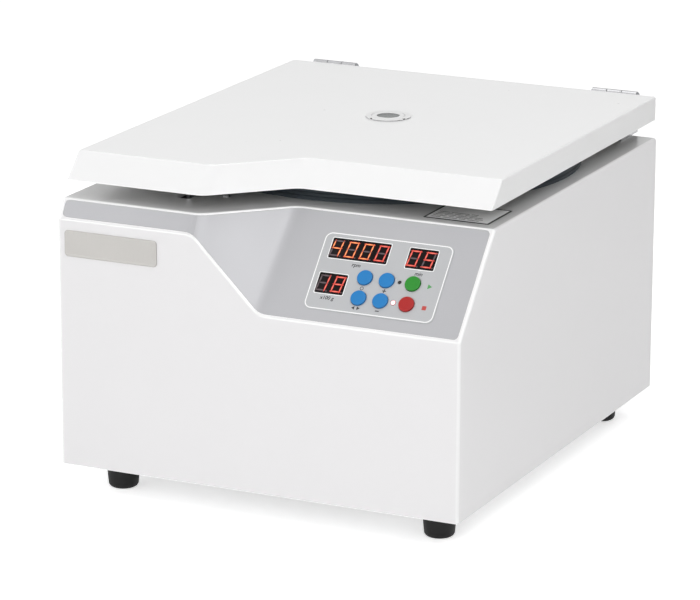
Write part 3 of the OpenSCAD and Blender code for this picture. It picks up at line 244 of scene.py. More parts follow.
def rubber(name, colour, rough=0.62):
    """A moulded rubber: dull, faintly dusty, with a soft pebble."""
    paint = Paint(name, colour, rough, Specular_IOR_Level=0.35)
    dust = paint.noise(14, 4).band(0.45, 0.8)
    worn = paint.edge(0.9)
    paint.put("Base Color", paint.blend((dust * 0.25 + worn * 0.3).least(1.0),
                                        colour, shade(colour, 2.2)))
    paint.put("Roughness", rough + dust * 0.12 - worn * 0.06)
    paint.relief(paint.noise(1.1, 3), 0.03)
    return paint.material


def steel(name, colour, rough=0.28, lay=(1, 1, 30), pitch=9.0, depth=0.004):
    """A drawn or brushed metal, with its scratches along one way."""
    paint = Paint(name, colour, rough, 1.0)
    scratch = paint.noise(pitch, 4, lay, 0.6)
    stain = paint.noise(30, 3)
    worn = paint.edge(0.4)
    paint.put("Base Color", paint.blend(worn * 0.5, paint.blend(
        stain, shade(colour, 0.9), colour), shade(colour, 1.25)))
    paint.put("Roughness", rough + (scratch - 0.5) * 0.22 + (stain - 0.5) * 0.08)
    paint.relief(scratch, depth)
    return paint.material


def turned(name, colour, middle, rough=0.25, pitch=0.6):
    """A metal turned or spun about an upright axis, with fine rings round it."""
    paint = Paint(name, colour, rough, 1.0)
    x, y, z = paint.at()
    x, y = x - middle[0], y - middle[1]
    square = x * x + y * y
    reach = square.math("SQRT", square)
    swirl = paint.node("ShaderNodeCombineXYZ", {}, reach, z, 0.0)
    rings = paint.node("ShaderNodeTexNoise", {}, swirl, Scale=1000 / pitch, Detail=3.0)
    stain = paint.noise(34, 3)
    worn = paint.edge(0.5)
    paint.put("Base Color", paint.blend(worn * 0.4, paint.blend(
        stain, shade(colour, 0.9), colour), shade(colour, 1.2)))
    paint.put("Roughness", rough + (rings - 0.5) * 0.2 + (stain - 0.5) * 0.1)
    paint.relief(rings, 0.003)
    return paint.material


def silver_film(name, colour, rough=0.42, metal=0.2):
    """A printed silver film with a fine metal flake below a satin face."""
    paint = Paint(name, colour, rough, metal)
    flake = paint.noise(0.5, 2)
    cloud = paint.noise(90, 2)
    paint.put("Base Color", paint.blend(
        flake * 0.5 + cloud * 0.5, shade(colour, 0.94), shade(colour, 1.05)))
    paint.put("Metallic", metal + (flake - 0.5) * 0.1)
    paint.put("Roughness", rough + (flake - 0.5) * 0.12 + (cloud - 0.5) * 0.06)
    paint.relief(paint.noise(0.9, 2), 0.006)
    return paint.material


def circuit_board(name):
    """A green board with faint tracks in both ways and a lacquer over them."""
    paint = Paint(name, "#0d4426", 0.35, Coat_Weight=0.3)
    tracks = (paint.noise(2.2, 0, (1, 0.05, 1)).band(0.5, 0.56)
              .most(paint.noise(2.2, 0, (0.05, 1, 1)).band(0.56, 0.6)))
    paint.put("Base Color", paint.blend(tracks, "#0d4426", "#1f6b3c"))
    paint.put("Roughness", 0.32 + tracks * 0.08)
    paint.relief(tracks, 0.03)
    return paint.material


def lamp(name, colour, strength, base="#180404"):
    """A lit face that shines by itself."""
    paint = Paint(name, base, 0.3)
    glow = paint.noise(3, 1)
    paint.put("Base Color", paint.blend(glow, base, shade(base, 1.4)))
    paint.put("Emission Color", paint.blend(glow, colour, shade(colour, 0.9)))
    paint.shader.inputs["Emission Strength"].default_value = strength
    return paint.material


def clear(name, colour, alpha=0.25, rough=0.06):
    """A clear moulding, a little dusty, that lets the rest of the light through."""
    paint = Paint(name, colour, rough)
    dust = paint.noise(8, 4).band(0.5, 0.9)
    paint.put("Roughness", rough + dust * 0.12)
    paint.put("Alpha", alpha + dust * 0.05)
    paint.relief(paint.noise(12, 1), 0.004)
    return paint.material


spindle_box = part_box("spindle")
SPINDLE = (spindle_box[0] + spindle_box[1]) / 2
finish = {
    "white_paint": powder_coat("white powder coat", "#e6e5e6"),
    "lid_paint": powder_coat("lid powder coat", "#ececec", 0.008, 0.3, 0.15),
    "liner_white": plastic("lid liner", "#dededc", 0.5),
    "base_steel": powder_coat("base plate coat", "#d9d9da", 0.01, 0.42, 0.1),
    "silver_film": silver_film("silver film", "#b0b0b3"),
    "overlay_grey": silver_film("overlay grey", "#b2b3b5"),
    "display_dark": plastic("smoked display lens", "#0c0506", 0.32, 0.0015, 6.0,
                            Specular_IOR_Level=0.12),
    "led_red": plastic("red indicator rim", "#b4383a", 0.3, 0.002, 3.0),
    "board_green": circuit_board("green circuit board"),
    "plate_grey": steel("brushed plate", "#b1afac", 0.5, (30, 1, 1), 6.0, 0.003),
    "label_black": plastic("black label print", "#141415", 0.45, 0.004),
    "button_blue": plastic("blue button", "#0c77ba", 0.36, 0.006, 0.9),
    "button_green": plastic("green button", "#128214", 0.36, 0.006, 0.9),
    "button_red": plastic("red button", "#a50c08", 0.36, 0.006, 0.9),
    "seal_rubber": rubber("chamber seal rubber", "#343c42", 0.55),
    "black_rubber": rubber("black rubber", "#09090a"),
    "bowl_steel": turned("spun steel bowl", "#c9cacb", SPINDLE, 0.22, 0.9),
    "bright_steel": steel("bright steel", "#b6b6b8"),
    "guard_steel": steel("rolled guard steel", "#8d8f92", 0.4, (1, 1, 8)),
    "motor_casing": plastic("motor enamel", "#3a3c3f", 0.45, 0.03, 1.6),
    "rotor_alloy": steel("anodised rotor alloy", "#c3c6ca", 0.34, (1, 24, 1), 5.0),
    "bucket_alloy": steel("anodised bucket alloy", "#a4afc0", 0.42, (1, 1, 14), 5.0),
    "window_white": plastic("white window ring", "#e4e4e4", 0.3, 0.003, 2.0),
    "clear_glass": clear("clear sight glass", "#b6baba", 0.4),
    "black_plastic": plastic("black plastic", "#1d1d1e", 0.42, 0.02),
}
white_ink = plastic("white ink", "#f4f4f4", 0.5, 0.002)
black_ink = plastic("black ink", "#2c2c2e", 0.5, 0.002)
green_ink = plastic("green ink", "#4f9a55", 0.5, 0.002)
red_ink = plastic("red ink", "#b8423c", 0.5, 0.002)
# The deck's coat is greyer than the body's: painted shade from the lid above it.
deck_shade_paint = powder_coat("deck powder coat", "#cdcdcd")
# A lighter, glossier coat for the rounded folds: a painted highlight along them.
highlight_rim_paint = powder_coat("rim powder coat", "#f1f1f1", 0.003, 0.2, 0.6)
label_face = plastic("printed label face", "#f8f8f8", 0.45, 0.004)
dead_segment = plastic("unlit segment", "#54474b", 0.5, 0.002, Specular_IOR_Level=0.2)
dead_core = plastic("unlit segment core", "#65585c", 0.5, 0.002, Specular_IOR_Level=0.2)
dead_lens = plastic("unlit indicator lens", "#0b0b0c", 0.2, 0.002)
glow_red = lamp("red glow", "#f02a20", 0.8)
glow_hot = lamp("hot core", "#ffab62", 1.25)
glow_pale = lamp("pale core", "#ff7a66", 1.05)
glow_white = lamp("indicator light", "#ffe2e4", 1.0, "#d8a0a4")
copper = steel("copper winding", "#b0693c", 0.35, (30, 1, 1), 1.2, 0.03)
slot_of = {row["node"]: row["material_slot"] for row in frame["record"]["subparts"]}
for name, node in nodes.items():
    node.data.materials.clear()
    node.data.materials.append(finish[slot_of[name]])


# Modelling
def deselect():
    if bpy.context.object and bpy.context.object.mode != "OBJECT":
        bpy.ops.object.mode_set(mode="OBJECT")
    bpy.ops.object.select_all(action="DESELECT")


def pick(*things):
    deselect()
    for thing in things:
        thing.select_set(True)
    bpy.context.view_layer.objects.active = things[0]
    return things[0]


def edit(thing=None):
    """Goes into edit mode with everything selected."""
    if thing is not None:
        pick(thing)
    bpy.ops.object.mode_set(mode="EDIT")
    bpy.ops.mesh.select_all(action="SELECT")


def done():
    bpy.ops.object.mode_set(mode="OBJECT")
    return bpy.context.object


def choose(kind, test):
    """In edit mode, selects the faces, edges or vertices that pass a test of place and way."""
    bpy.ops.mesh.select_all(action="DESELECT")
    bpy.ops.mesh.select_mode(type=kind)
    mesh = bmesh.from_edit_mesh(bpy.context.object.data)
    if kind == "FACE":
        for face in mesh.faces:
            face.select_set(test(face.calc_center_median(), face.normal))
    elif kind == "EDGE":
        for edge in mesh.edges:
            first, last = (vert.co for vert in edge.verts)
            edge.select_set(test((first + last) / 2, last - first))
    else:
        for vert in mesh.verts:
            vert.select_set(test(vert.co, vert.normal))
    mesh.select_flush_mode()
    bmesh.update_edit_mesh(bpy.context.object.data)


def settle(thing, name, slot, body, matrix=None, materials=None, smooth=35):
    """Names a piece, moves its place into its mesh, smooths it and lets it ride on its body.

    An empty list of materials leaves it the ones it has.
    """
    pick(thing)
    bpy.ops.object.transform_apply(location=True, rotation=True, scale=True)
    if matrix is not None:
        thing.data.transform(matrix)
    if smooth:
        bpy.ops.object.shade_smooth_by_angle(angle=math.radians(smooth))
    thing.name = thing.data.name = name
    if materials != []:
        thing.data.materials.clear()
        for material in materials or [finish[slot]]:
            thing.data.materials.append(material)
    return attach(thing, body)


def dress(thing, material, test):
    """Gives the faces that pass a test of place and way a material of their own."""
    thing.data.materials.append(material)
    for face in thing.data.polygons:
        if test(face.center, face.normal):
            face.material_index = len(thing.data.materials) - 1


def merged_copy(node):
    """A copy of a CAD node's mesh with its triangles joined, and its flats dissolved."""
    thing = bpy.data.objects.new("copy", nodes[node].data.copy())
    scene.collection.objects.link(thing)
    edit(thing)
    bpy.ops.mesh.remove_doubles(threshold=0.005 * MM)
    bpy.ops.mesh.dissolve_limited(angle_limit=math.radians(0.2))
    return done()


def soften(thing, width, segments=2, angle=32):
    """Rounds the sharp edges of a piece, then lets its large faces set the normals."""
    pick(thing)
    bpy.ops.object.shade_smooth_by_angle(angle=math.radians(angle))
    bevel = thing.modifiers.new("bevel", "BEVEL")
    bevel.width, bevel.segments = width * MM, segments
    bevel.limit_method, bevel.angle_limit = "ANGLE", math.radians(angle)
    bevel.use_clamp_overlap = True
    bpy.ops.object.modifier_apply(modifier=bevel.name)
    weigh = thing.modifiers.new("weigh", "WEIGHTED_NORMAL")
    weigh.keep_sharp = True
    bpy.ops.object.modifier_apply(modifier=weigh.name)
    return thing


def refine(node, width, shape=None):
    """A finished copy of a CAD node: shaped by a function, then with rounded edges."""
    thing = merged_copy(node)
    if shape:
        edit(thing)
        shape(node)
        done()
    soften(thing, width)
    settle(thing, node + "_finished", slot_of[node], nodes[node]["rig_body"], smooth=0)
    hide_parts(node)
    return thing


def raise_faces(height):
    bpy.ops.mesh.extrude_region_move(TRANSFORM_OT_translate={"value": (0, 0, height * MM)})


def inset(thick, rise=0.0, each=False):
    bpy.ops.mesh.inset(thickness=thick * MM, depth=rise * MM, use_individual=each)


def turn_out():
    bpy.ops.mesh.select_all(action="SELECT")
    bpy.ops.mesh.normals_make_consistent(inside=False)


def hollow(line):
    """Leaves a rim of a flat shape, a line in millimetres wide."""
    inset(line)
    bpy.ops.mesh.delete(type="FACE")
    bpy.ops.mesh.select_all(action="SELECT")


def lifted(height):
    """Gives a flat shape its thickness in millimetres, and leaves edit mode."""
    raise_faces(height)
    turn_out()
    return done()


def flat(w, h, r=0.0, segments=6):
    """A flat plate on the table, left in edit mode with its face chosen."""
    deselect()
    bpy.ops.mesh.primitive_plane_add(size=MM)
    edit()
    bpy.ops.transform.resize(value=(w, h, 1))
    if r:
        bpy.ops.mesh.bevel(offset=r * MM, segments=segments, affect="VERTICES")
    bpy.ops.mesh.select_all(action="SELECT")


def disc(r, corners=24, fill="NGON"):
    """A flat disc on the table, left in edit mode with its face chosen."""
    deselect()
    bpy.ops.mesh.primitive_circle_add(vertices=corners, radius=r * MM, fill_type=fill)
    edit()


def join(pieces):
    if len(pieces) > 1:
        pick(*pieces)
        bpy.ops.object.join()
    return bpy.context.object


def copy_of(thing, matrix):
    """A copy with a mesh of its own, moved by a matrix."""
    twin = bpy.data.objects.new("twin", thing.data.copy())
    twin.data.transform(matrix)
    scene.collection.objects.link(twin)
    return twin


def written(text, size, lean=0.0, thick=0.03):
    """Generic signs as a thin mesh, flat on the table."""
    deselect()
    bpy.ops.object.text_add()
    letters = bpy.context.object
    letters.data.body, letters.data.size, letters.data.shear = text, size * MM, lean
    letters.data.align_x = letters.data.align_y = "CENTER"
    letters.data.resolution_u, letters.data.offset = 4, 0.02 * size * MM
    bpy.ops.object.convert(target="MESH")
    edit(bpy.context.object)
    bpy.ops.mesh.remove_doubles(threshold=0.001 * MM)
    bpy.ops.mesh.dissolve_limited(angle_limit=math.radians(0.5))
    bpy.ops.mesh.select_all(action="SELECT")
    return lifted(thick)


# Floor and light
WHITE, FLOOR_GREY = (1.0, 1.0, 1.0, 1.0), (0.92, 0.92, 0.92, 1.0)
WORLD_LIGHT, FLOOR_GLOW = 0.25, 0.58


def seen(paint_tree):
    """1 where the camera, a mirror or glass looks straight at a surface."""
    path = paint_tree.nodes.new("ShaderNodeLightPath")
    values = [path.outputs[k] for k in ("Is Camera Ray", "Is Glossy Ray", "Is Transmission Ray")]
    total = values[0]
    for value in values[1:]:
        add = paint_tree.nodes.new("ShaderNodeMath")
        add.operation = "MAXIMUM"
        paint_tree.links.new(total, add.inputs[0])
        paint_tree.links.new(value, add.inputs[1])
        total = add.outputs[0]
    return total


def background():
    world = bpy.data.worlds.new("studio")
    world.use_nodes = True
    scene.world = world
    tree = world.node_tree
    base = tree.nodes["Background"]
    base.inputs["Color"].default_value = WHITE
    base.inputs["Strength"].default_value = WORLD_LIGHT
    plain = tree.nodes.new("ShaderNodeBackground")
    plain.inputs["Color"].default_value = WHITE
    mix = tree.nodes.new("ShaderNodeMixShader")
    tree.links.new(seen(tree), mix.inputs[0])
    tree.links.new(base.outputs[0], mix.inputs[1])
    tree.links.new(plain.outputs[0], mix.inputs[2])
    tree.links.new(mix.outputs[0], tree.nodes["World Output"].inputs["Surface"])


def make_floor():
    deselect()
    bpy.ops.mesh.primitive_plane_add(size=12, location=(0, 0, 0))
    floor = bpy.context.object
    floor.name = "floor"
    paint = Paint("plain floor", "#ffffff", 0.9)
    shader = paint.shader
    shader.inputs["Base Color"].default_value = FLOOR_GREY
    glow = paint.tree.nodes.new("ShaderNodeEmission")
    glow.inputs["Color"].default_value = WHITE
    glow.inputs["Strength"].default_value = FLOOR_GLOW
    add = paint.tree.nodes.new("ShaderNodeAddShader")
    paint.tree.links.new(shader.outputs[0], add.inputs[0])
    paint.tree.links.new(glow.outputs[0], add.inputs[1])
    mix = paint.tree.nodes.new("ShaderNodeMixShader")
    paint.tree.links.new(seen(paint.tree), mix.inputs[0])
    paint.tree.links.new(shader.outputs[0], mix.inputs[1])
    paint.tree.links.new(add.outputs[0], mix.inputs[2])
    output = paint.tree.nodes["Material Output"]
    paint.tree.links.new(mix.outputs[0], output.inputs["Surface"])
    floor.data.materials.append(paint.material)


def area_light(name, place, target, size, power):
    data = bpy.data.lights.new(name, "AREA")
    data.size, data.energy = size, power
    thing = bpy.data.objects.new(name, data)
    scene.collection.objects.link(thing)
    place = Vector(place)
    turn = (Vector(target) - place).to_track_quat("-Z", "Y").to_matrix().to_4x4()
    thing.matrix_world = Matrix.Translation(place) @ turn


background()
make_floor()
area_light("beside_camera", (1.1, -2.4, 1.3), (0, 0, 0.15), 1.0, 17.0)
area_light("left", (-2.2, -1.3, 1.6), (0, 0, 0.15), 1.4, 19.0)
area_light("overhead", (0.1, 0.3, 2.6), (0, 0, 0.2), 2.0, 21.5)
area_light("upper_right", (1.56, -1.05, 1.93), (0, 0, 0.2), 1.0, 15.1)
area_light("low_left", (-1.15, -2.5, 0.75), (0, 0, 0.15), 0.7, 8.5)

# Finished copies of CAD nodes
STEP = (-0.0735, 0.022)


def comb(node):
    """Divides the ruled faces of the step up their slope, so that they shade without streaks."""
    long, least_run, most_run, straight, cuts = 20 * MM, MM, 4 * MM, 0.01 * MM, 8
    choose("EDGE", lambda c, d: least_run < abs(d.x) < most_run and d.length > long)
    bpy.ops.mesh.dissolve_edges(use_verts=False)
    choose("EDGE", lambda c, d: abs(d.x) < straight and d.length > long
           and STEP[0] - MM < c.x < STEP[1] + MM)
    bpy.ops.mesh.subdivide(number_cuts=cuts)


def top_of(node, way, depth=0.01):
    """A test that holds for faces at a node's furthest end along a way."""
    far = max(Vector(v.co).dot(way) for v in nodes[node].data.vertices)
    return lambda c, n: n.dot(way) > 0.9995 and c.dot(way) > far - depth * MM


def grooved(node):
    """A plate with a fine groove near its edge."""
    margin, groove_w, groove_deep = 1.7, 0.3, 0.15
    choose("FACE", top_of(node, Vector((0, -1, 0))))
    inset(margin)
    inset(groove_w, -groove_deep)
    inset(groove_w, groove_deep)


def dished(node):
    """A button with a shallow dish in its top."""
    rim, slope_w, dish = 1.2, 0.5, 0.15
    choose("FACE", top_of(node, OUT))
    inset(rim)
    inset(slope_w, -dish)


def domed(node):
    """Lenses with a low dome."""
    rings = ((0.25, 0.15), (0.35, 0.0), (0.3, 0.12))
    choose("FACE", top_of(node, OUT))
    for width, rise in rings:
        inset(width, rise, True)


def undercut(node):
    """A ring whose rim stands off the lid, so that a thin shadow runs below it."""
    gap, shrink = 0.65, 0.93
    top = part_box("lid_shell")[1].z
    bpy.ops.mesh.bisect(plane_co=(0, 0, top + gap * MM), plane_no=(0, 0, 1))
    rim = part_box(node)[1].x - 0.5 * MM
    choose("VERT", lambda c, n: abs(c.z - top) < 0.1 * MM
           and math.hypot(c.x - SPINDLE.x, c.y - SPINDLE.y) > rim)
    bpy.ops.transform.resize(
        value=(shrink, shrink, 1), center_override=(SPINDLE.x, SPINDLE.y, top))


press = Vector(next(j for j in frame["joints"] if j["name"] == "press_set")["axis"])
OUT = -press.normalized()
UP = Vector((1, 0, 0)).cross(-OUT).normalized()
ROUNDED = {
    "casing": 0.35, "lid_shell": (0.3, comb), "fascia_film": (0.1, comb), "control_overlay": 0.08,
    "base_plate": 0.5, "name_plate": (0.25, grooved), "rear_panel": 0.3, "mains_plate": 0.3,
    "window_ring": (0.15, undercut), "sight_glass": 0.25, "lid_liner": 0.5, "lid_hook": 0.3,
    "hinge_base_left": 0.3, "hinge_base_right": 0.3, "hinge_leaf_left": 0.3,
    "hinge_leaf_right": 0.3, "hinge_pins": 0.5, "hinge_base_screws": 0.15,
    "hinge_leaf_screws": 0.15, "deck_screw": 0.15, "base_screws": 0.2, "rear_screws": 0.15,
    "deck_label": 0.04, "rotor_yoke": 0.6, "rotor_nut": 0.5, "trunnion_pins": 0.4, "spindle": 0.4,
    "bucket_a": 0.4, "bucket_b": 0.4, "switch_frame": 0.4, "power_rocker": 0.4,
    "power_inlet": 0.4, "fuse_holder": 0.4, "foot_front_left": 0.6, "foot_front_right": 0.6,
    "foot_rear_left": 0.6, "foot_rear_right": 0.6, "chamber_seal": 0.3, "chamber_bowl": 0.3,
    "bowl_floor": 0.3, "guard_ring": 0.4, "bowl_boot": 0.4, "motor_body": 0.5, "motor_mount": 0.5,
    "rubber_dampers": 0.5, "lock_frame": 0.3, "lock_solenoid": 0.4, "lock_bolt": 0.4,
    "control_board": 0.15, "drive_board": 0.3, "speed_display": 0.3, "time_display": 0.3,
    "rcf_display": 0.3, "indicator_leds": (0.05, domed), "button_set": (0.15, dished),
    "button_plus": (0.15, dished), "button_start": (0.15, dished), "button_mode": (0.15, dished),
    "button_minus": (0.15, dished), "button_stop": (0.15, dished),
}
finished = {}
for node, plan in ROUNDED.items():
    finished[node] = refine(node, *(plan if isinstance(plan, tuple) else (plan,)))

# Control panel: u runs across, v up the slope and n out of it, in millimetres from the middle
# of the overlay's face
overlay_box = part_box("control_overlay")
OVERLAY_TOP = 0.15
PANEL = (overlay_box[0] + overlay_box[1]) / 2 + OUT * OVERLAY_TOP * MM
SLOPE = Matrix((Vector((1, 0, 0)), UP, OUT)).transposed().to_4x4()
PRINT = 0.03
WINDOW_H, WINDOW_RIM, WINDOW_LINE, PITCH_SPARE = 18.0, 1.6, 0.7, 1.8
DISPLAYS = {"speed": "4000", "time": "05", "rcf": "18"}
CORES = {"speed": [glow_hot] * 3 + [glow_pale], "time": [glow_pale] * 2, "rcf": [glow_pale] * 2}


def on_panel(u, v, n=0.0, turn=0.0):
    place = PANEL + Vector((u * MM, 0, 0)) + UP * v * MM + OUT * n * MM
    return Matrix.Translation(place) @ SLOPE @ Matrix.Rotation(math.radians(turn), 4, "Z")


def panel_place(node):
    """Where a node's middle is on the panel."""
    low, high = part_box(node)
    away = (low + high) / 2 - PANEL
    return away.x / MM, away.dot(UP) / MM


def printed(name, piece, u, v, ink, turn=0.0):
    settle(piece, name, "overlay_grey", "housing", on_panel(u, v, 0, turn), [ink])


def outline(name, u, v, w, h, r, line):
    """A thin printed line round a rounded field."""
    flat(w, h, r)
    hollow(line)
    printed(name, lifted(PRINT), u, v, white_ink)


def bar(length, thick, rim, core):
    """A digit's segment, with pointed ends, and a rim and core of two materials."""
    rim_share, across_flats = 0.24, 1.732
    disc(1.0, 6)
    bpy.ops.transform.resize(value=(length / 2, thick / across_flats, 1))
    choose("VERT", lambda c, n: abs(c.y) > 0.1 * MM)
    bpy.ops.transform.resize(value=((length - thick) * 2 / length, 1, 1))
    bpy.ops.mesh.select_all(action="SELECT")
    inset(thick * rim_share)
    bpy.context.object.data.materials.append(rim)
    bpy.context.object.data.materials.append(core)
    bpy.context.object.active_material_index = 1
    bpy.ops.object.material_slot_assign()
    bpy.ops.mesh.select_all(action="SELECT")
    return lifted(PRINT)


# Each segment: its place across and up in half widths and half heights, and whether it stands
SEGMENTS = {"a": (0, 1, 0), "b": (1, 0.5, 1), "c": (1, -0.5, 1), "d": (0, -1, 0),
            "e": (-1, -0.5, 1), "f": (-1, 0.5, 1), "g": (0, 0, 0)}
LIT = {"0": "abcdef", "1": "bc", "4": "bcfg", "5": "acdfg", "8": "abcdefg"}
DIGIT_W, DIGIT_H, STROKE, LEAN = 7.2, 13.0, 1.35, 0.13
SEGMENT_GAP, POINT_R, POINT_AWAY, DIGITS_LEFT = 0.35, 0.7, (1.1, 0.4), 0.5
SLANT = Matrix(((1, LEAN, 0, 0), (0, 1, 0, 0), (0, 0, 1, 0), (0, 0, 0, 1)))


def digit_row(name, at, text, pitch, cores):
    """The segments of a display, lit and unlit, as two pieces."""
    made = {True: [], False: []}
    for index, sign in enumerate(text):
        middle = (index - (len(text) - 1) / 2) * pitch - DIGITS_LEFT
        for key, (across, up, stands) in SEGMENTS.items():
            lit = key in LIT[sign]
            inks = (glow_red, cores[index]) if lit else (dead_segment, dead_core)
            piece = bar((DIGIT_H / 2 if stands else DIGIT_W) - SEGMENT_GAP, STROKE, *inks)
            x = middle + across * DIGIT_W / 2 + up * DIGIT_H / 2 * LEAN
            turn = Matrix.Rotation(math.radians(90 * stands), 4, "Z")
            piece.data.transform(on_panel(at[0] + x, at[1] + up * DIGIT_H / 2) @ SLANT @ turn)
            made[lit].append(piece)
        disc(POINT_R, 12)
        inset(0.2)
        bpy.ops.mesh.select_all(action="SELECT")
        point = lifted(PRINT)
        point.data.transform(on_panel(at[0] + middle + DIGIT_W / 2 + POINT_AWAY[0],
                                      at[1] - DIGIT_H / 2 - POINT_AWAY[1]))
        point.data.materials.append(dead_segment)
        made[False].append(point)
    for lit, word in ((True, "_digits_lit"), (False, "_digits_unlit")):
        settle(join(made[lit]), name + word, "display_dark", "housing", materials=[], smooth=0)


def display_window(name, at, w):
    """A smoked window flush with the overlay, with a fine step round its face."""
    sunk, lip, lip_w, corner = 0.98, 0.08, 0.35, 1.0
    flat(w, WINDOW_H, corner)
    raise_faces(sunk - lip)
    inset(lip_w)
    bpy.ops.transform.translate(value=(0, 0, lip * MM))
    turn_out()
    settle(done(), name + "_window", "display_dark", "housing", on_panel(*at, -sunk))


outline("overlay_line", 0, 0, 112.2, 68.4, 6, 0.9)
for name, text in DISPLAYS.items():
    node = name + "_display"
    at, w = panel_place(node), (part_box(node)[1].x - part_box(node)[0].x) / MM
    outline(name + "_line", *at, w + WINDOW_RIM, WINDOW_H + WINDOW_RIM, WINDOW_RIM, WINDOW_LINE)
    display_window(name, at, w)
    digit_row(name, at, text, (w + PITCH_SPARE) / len(text), CORES[name])

# Generic signs beside the displays and buttons: units, and plain shapes
SIGNS = {"speed_unit": ("rpm", -22.25, 7.75, 4.6), "time_unit": ("min", 32.75, 6.85, 4.6),
         "force_unit": ("x100 g", -38.25, -23.85, 4.4), "plus_sign": ("+", 7.95, -11.85, 6.5),
         "minus_sign": ("\N{MINUS SIGN}", 7.25, -29.95, 6.5)}
for name, (text, u, v, size) in SIGNS.items():
    printed(name, written(text, size, 0.15), u, v, black_ink)


def plain_shape(corners, r, line=0.0):
    """A thin disc, triangle or square, or its outline."""
    disc(r, corners)
    if corners < 8:
        bpy.ops.mesh.bevel(offset=0.3 * MM, segments=3, affect="VERTICES")
        bpy.ops.mesh.select_all(action="SELECT")
    if line:
        hollow(line)
    return lifted(PRINT)


printed("start_sign", plain_shape(3, 2.5), 45.0, -2.85, green_ink, -90)
printed("stop_sign", plain_shape(4, 2.6), 46.2, -21.75, red_ink, 45)
printed("set_sign", plain_shape(24, 1.6, 0.5), -11.25, -11.65, black_ink)
printed("mode_sign_left", plain_shape(3, 1.8), -13.2, -29.35, black_ink, 90)
printed("mode_sign_right", plain_shape(3, 1.8), -9.3, -29.35, black_ink, -90)

# Indicators: the start one is out, the stop one is lit within a red rim
leds = finished["indicator_leds"]
BETWEEN_LEDS, LENS_PROUD = -11 * MM, 0.1 * MM
dress(leds, dead_lens, lambda c, n: (c - PANEL).dot(UP) > BETWEEN_LEDS)
dress(leds, glow_white, lambda c, n: (c - PANEL).dot(UP) < BETWEEN_LEDS and n.dot(OUT) > 0.9
      and (c - PANEL).dot(OUT) > LENS_PROUD)

# Deck label: a light face in a black border, with faint broken rules
label_low, label_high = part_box("deck_label")
dress(finished["deck_label"], label_face,
      lambda c, n: n.z > 0.9 and c.z < label_high.z - 0.05 * MM)
RULES = [(9, 14, 6, 11), (13, 5, 16, 8), (7, 11, 9, 13), (15, 8, 12), (10, 17, 7)]
RULE_PITCH, RULE_H, RULE_GAP, RULE_R = 4.2, 1.1, 1.8, 0.4
RULES_IN, RULE_SHARE, LABEL_SINK = (4.5, 6), 0.9, 0.1
dashes = []
for row, lengths in enumerate(RULES):
    x = label_low.x / MM + RULES_IN[0]
    y = label_low.y / MM + RULES_IN[1] + row * RULE_PITCH
    for length in lengths:
        flat(length * RULE_SHARE, RULE_H, RULE_R, 3)
        piece = lifted(PRINT)
        piece.data.transform(Matrix.Translation(
            Vector((x + length * RULE_SHARE / 2, y, label_high.z / MM - LABEL_SINK)) * MM))
        dashes.append(piece)
        x += length * RULE_SHARE + RULE_GAP
settle(join(dashes), "deck_label_rules", "label_black", "housing", materials=[black_ink])
BORDER, BORDER_IN, BORDER_R = 1.3, 0.8, 1.0
label_size = (label_high - label_low) / MM
label_middle = (label_low + label_high) / 2
flat(label_size.x - BORDER_IN, label_size.y - BORDER_IN, BORDER_R)
hollow(BORDER)
settle(lifted(PRINT), "deck_label_border", "label_black", "housing", Matrix.Translation(
    Vector((label_middle.x, label_middle.y, label_high.z - LABEL_SINK * MM))))


def brighten(node, width, test):
    """Paints a highlight: gives the narrow faces of a piece's rounded edges a lighter, glossier
    paint, where a place passes.
    """
    mesh = finished[node].data
    mesh.materials.append(highlight_rim_paint)
    for face in mesh.polygons:
        spots = [mesh.vertices[v].co for v in face.vertices]
        longest = max((a - b).length for a, b in zip(spots, spots[1:] + spots[:1]))
        if face.area < width * MM * longest and test(face.center):
            face.material_index = len(mesh.materials) - 1


# Painted shade on the deck, painted highlights along the rims, and painted shadow on the walls of
# the notches in the window's ring and in its undercut
lid_top, deck_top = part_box("lid_shell")[1].z, label_low.z
dress(finished["casing"], deck_shade_paint, lambda c, n: n.z > 0.99 and abs(c.z - deck_top) < 0.2 * MM)
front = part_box("casing")[0].y
NEAR_FRONT, BELOW_DECK, NOTCH_IN = 70 * MM, 5 * MM, 1.6
CASING_RIM, LID_RIM = 1.6, 0.8
brighten("casing", CASING_RIM, lambda c: c.y < front + NEAR_FRONT or c.z < deck_top - BELOW_DECK)
brighten("lid_shell", LID_RIM, lambda c: c.y < front + NEAR_FRONT)
notch_r = (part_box("window_ring")[1].x - SPINDLE.x) / MM - NOTCH_IN
# The walls of the notches are painted near black: painted shadow.
dress(finished["window_ring"], dead_lens, lambda c, n: abs(n.z) < 0.3 and c.z > lid_top
      and abs(math.hypot(c.x - SPINDLE.x, c.y - SPINDLE.y) / MM - notch_r) < 0.5)
# The undercut's faces are painted dark grey: painted shadow below the ring's rim.
UNDERCUT_R, UNDERCUT_H = 19 * MM, 0.66 * MM
dress(finished["window_ring"], black_ink, lambda c, n: n.z < 0.5
      and lid_top - 0.1 * MM < c.z < lid_top + UNDERCUT_H
      and math.hypot(c.x - SPINDLE.x, c.y - SPINDLE.y) > UNDERCUT_R)

# Bead pressed into the lid's liner, round the chamber
BEAD_R, BEAD_PROUD = 138.0, 1.5
disc(BEAD_PROUD, 12, "NOTHING")
bpy.ops.transform.rotate(value=math.radians(90), orient_axis="X", center_override=(0, 0, 0))
bpy.ops.transform.translate(value=(BEAD_R * MM, 0, 0))
bpy.ops.mesh.spin(steps=96, angle=math.tau, center=(0, 0, 0), axis=(0, 0, 1))
bpy.ops.mesh.select_all(action="SELECT")
bpy.ops.mesh.remove_doubles(threshold=0.005 * MM)
turn_out()
liner_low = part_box("lid_liner")[0].z
settle(done(), "liner_bead", "liner_white", "lid",
       Matrix.Translation((SPINDLE.x, SPINDLE.y, liner_low + 0.1 * MM)))

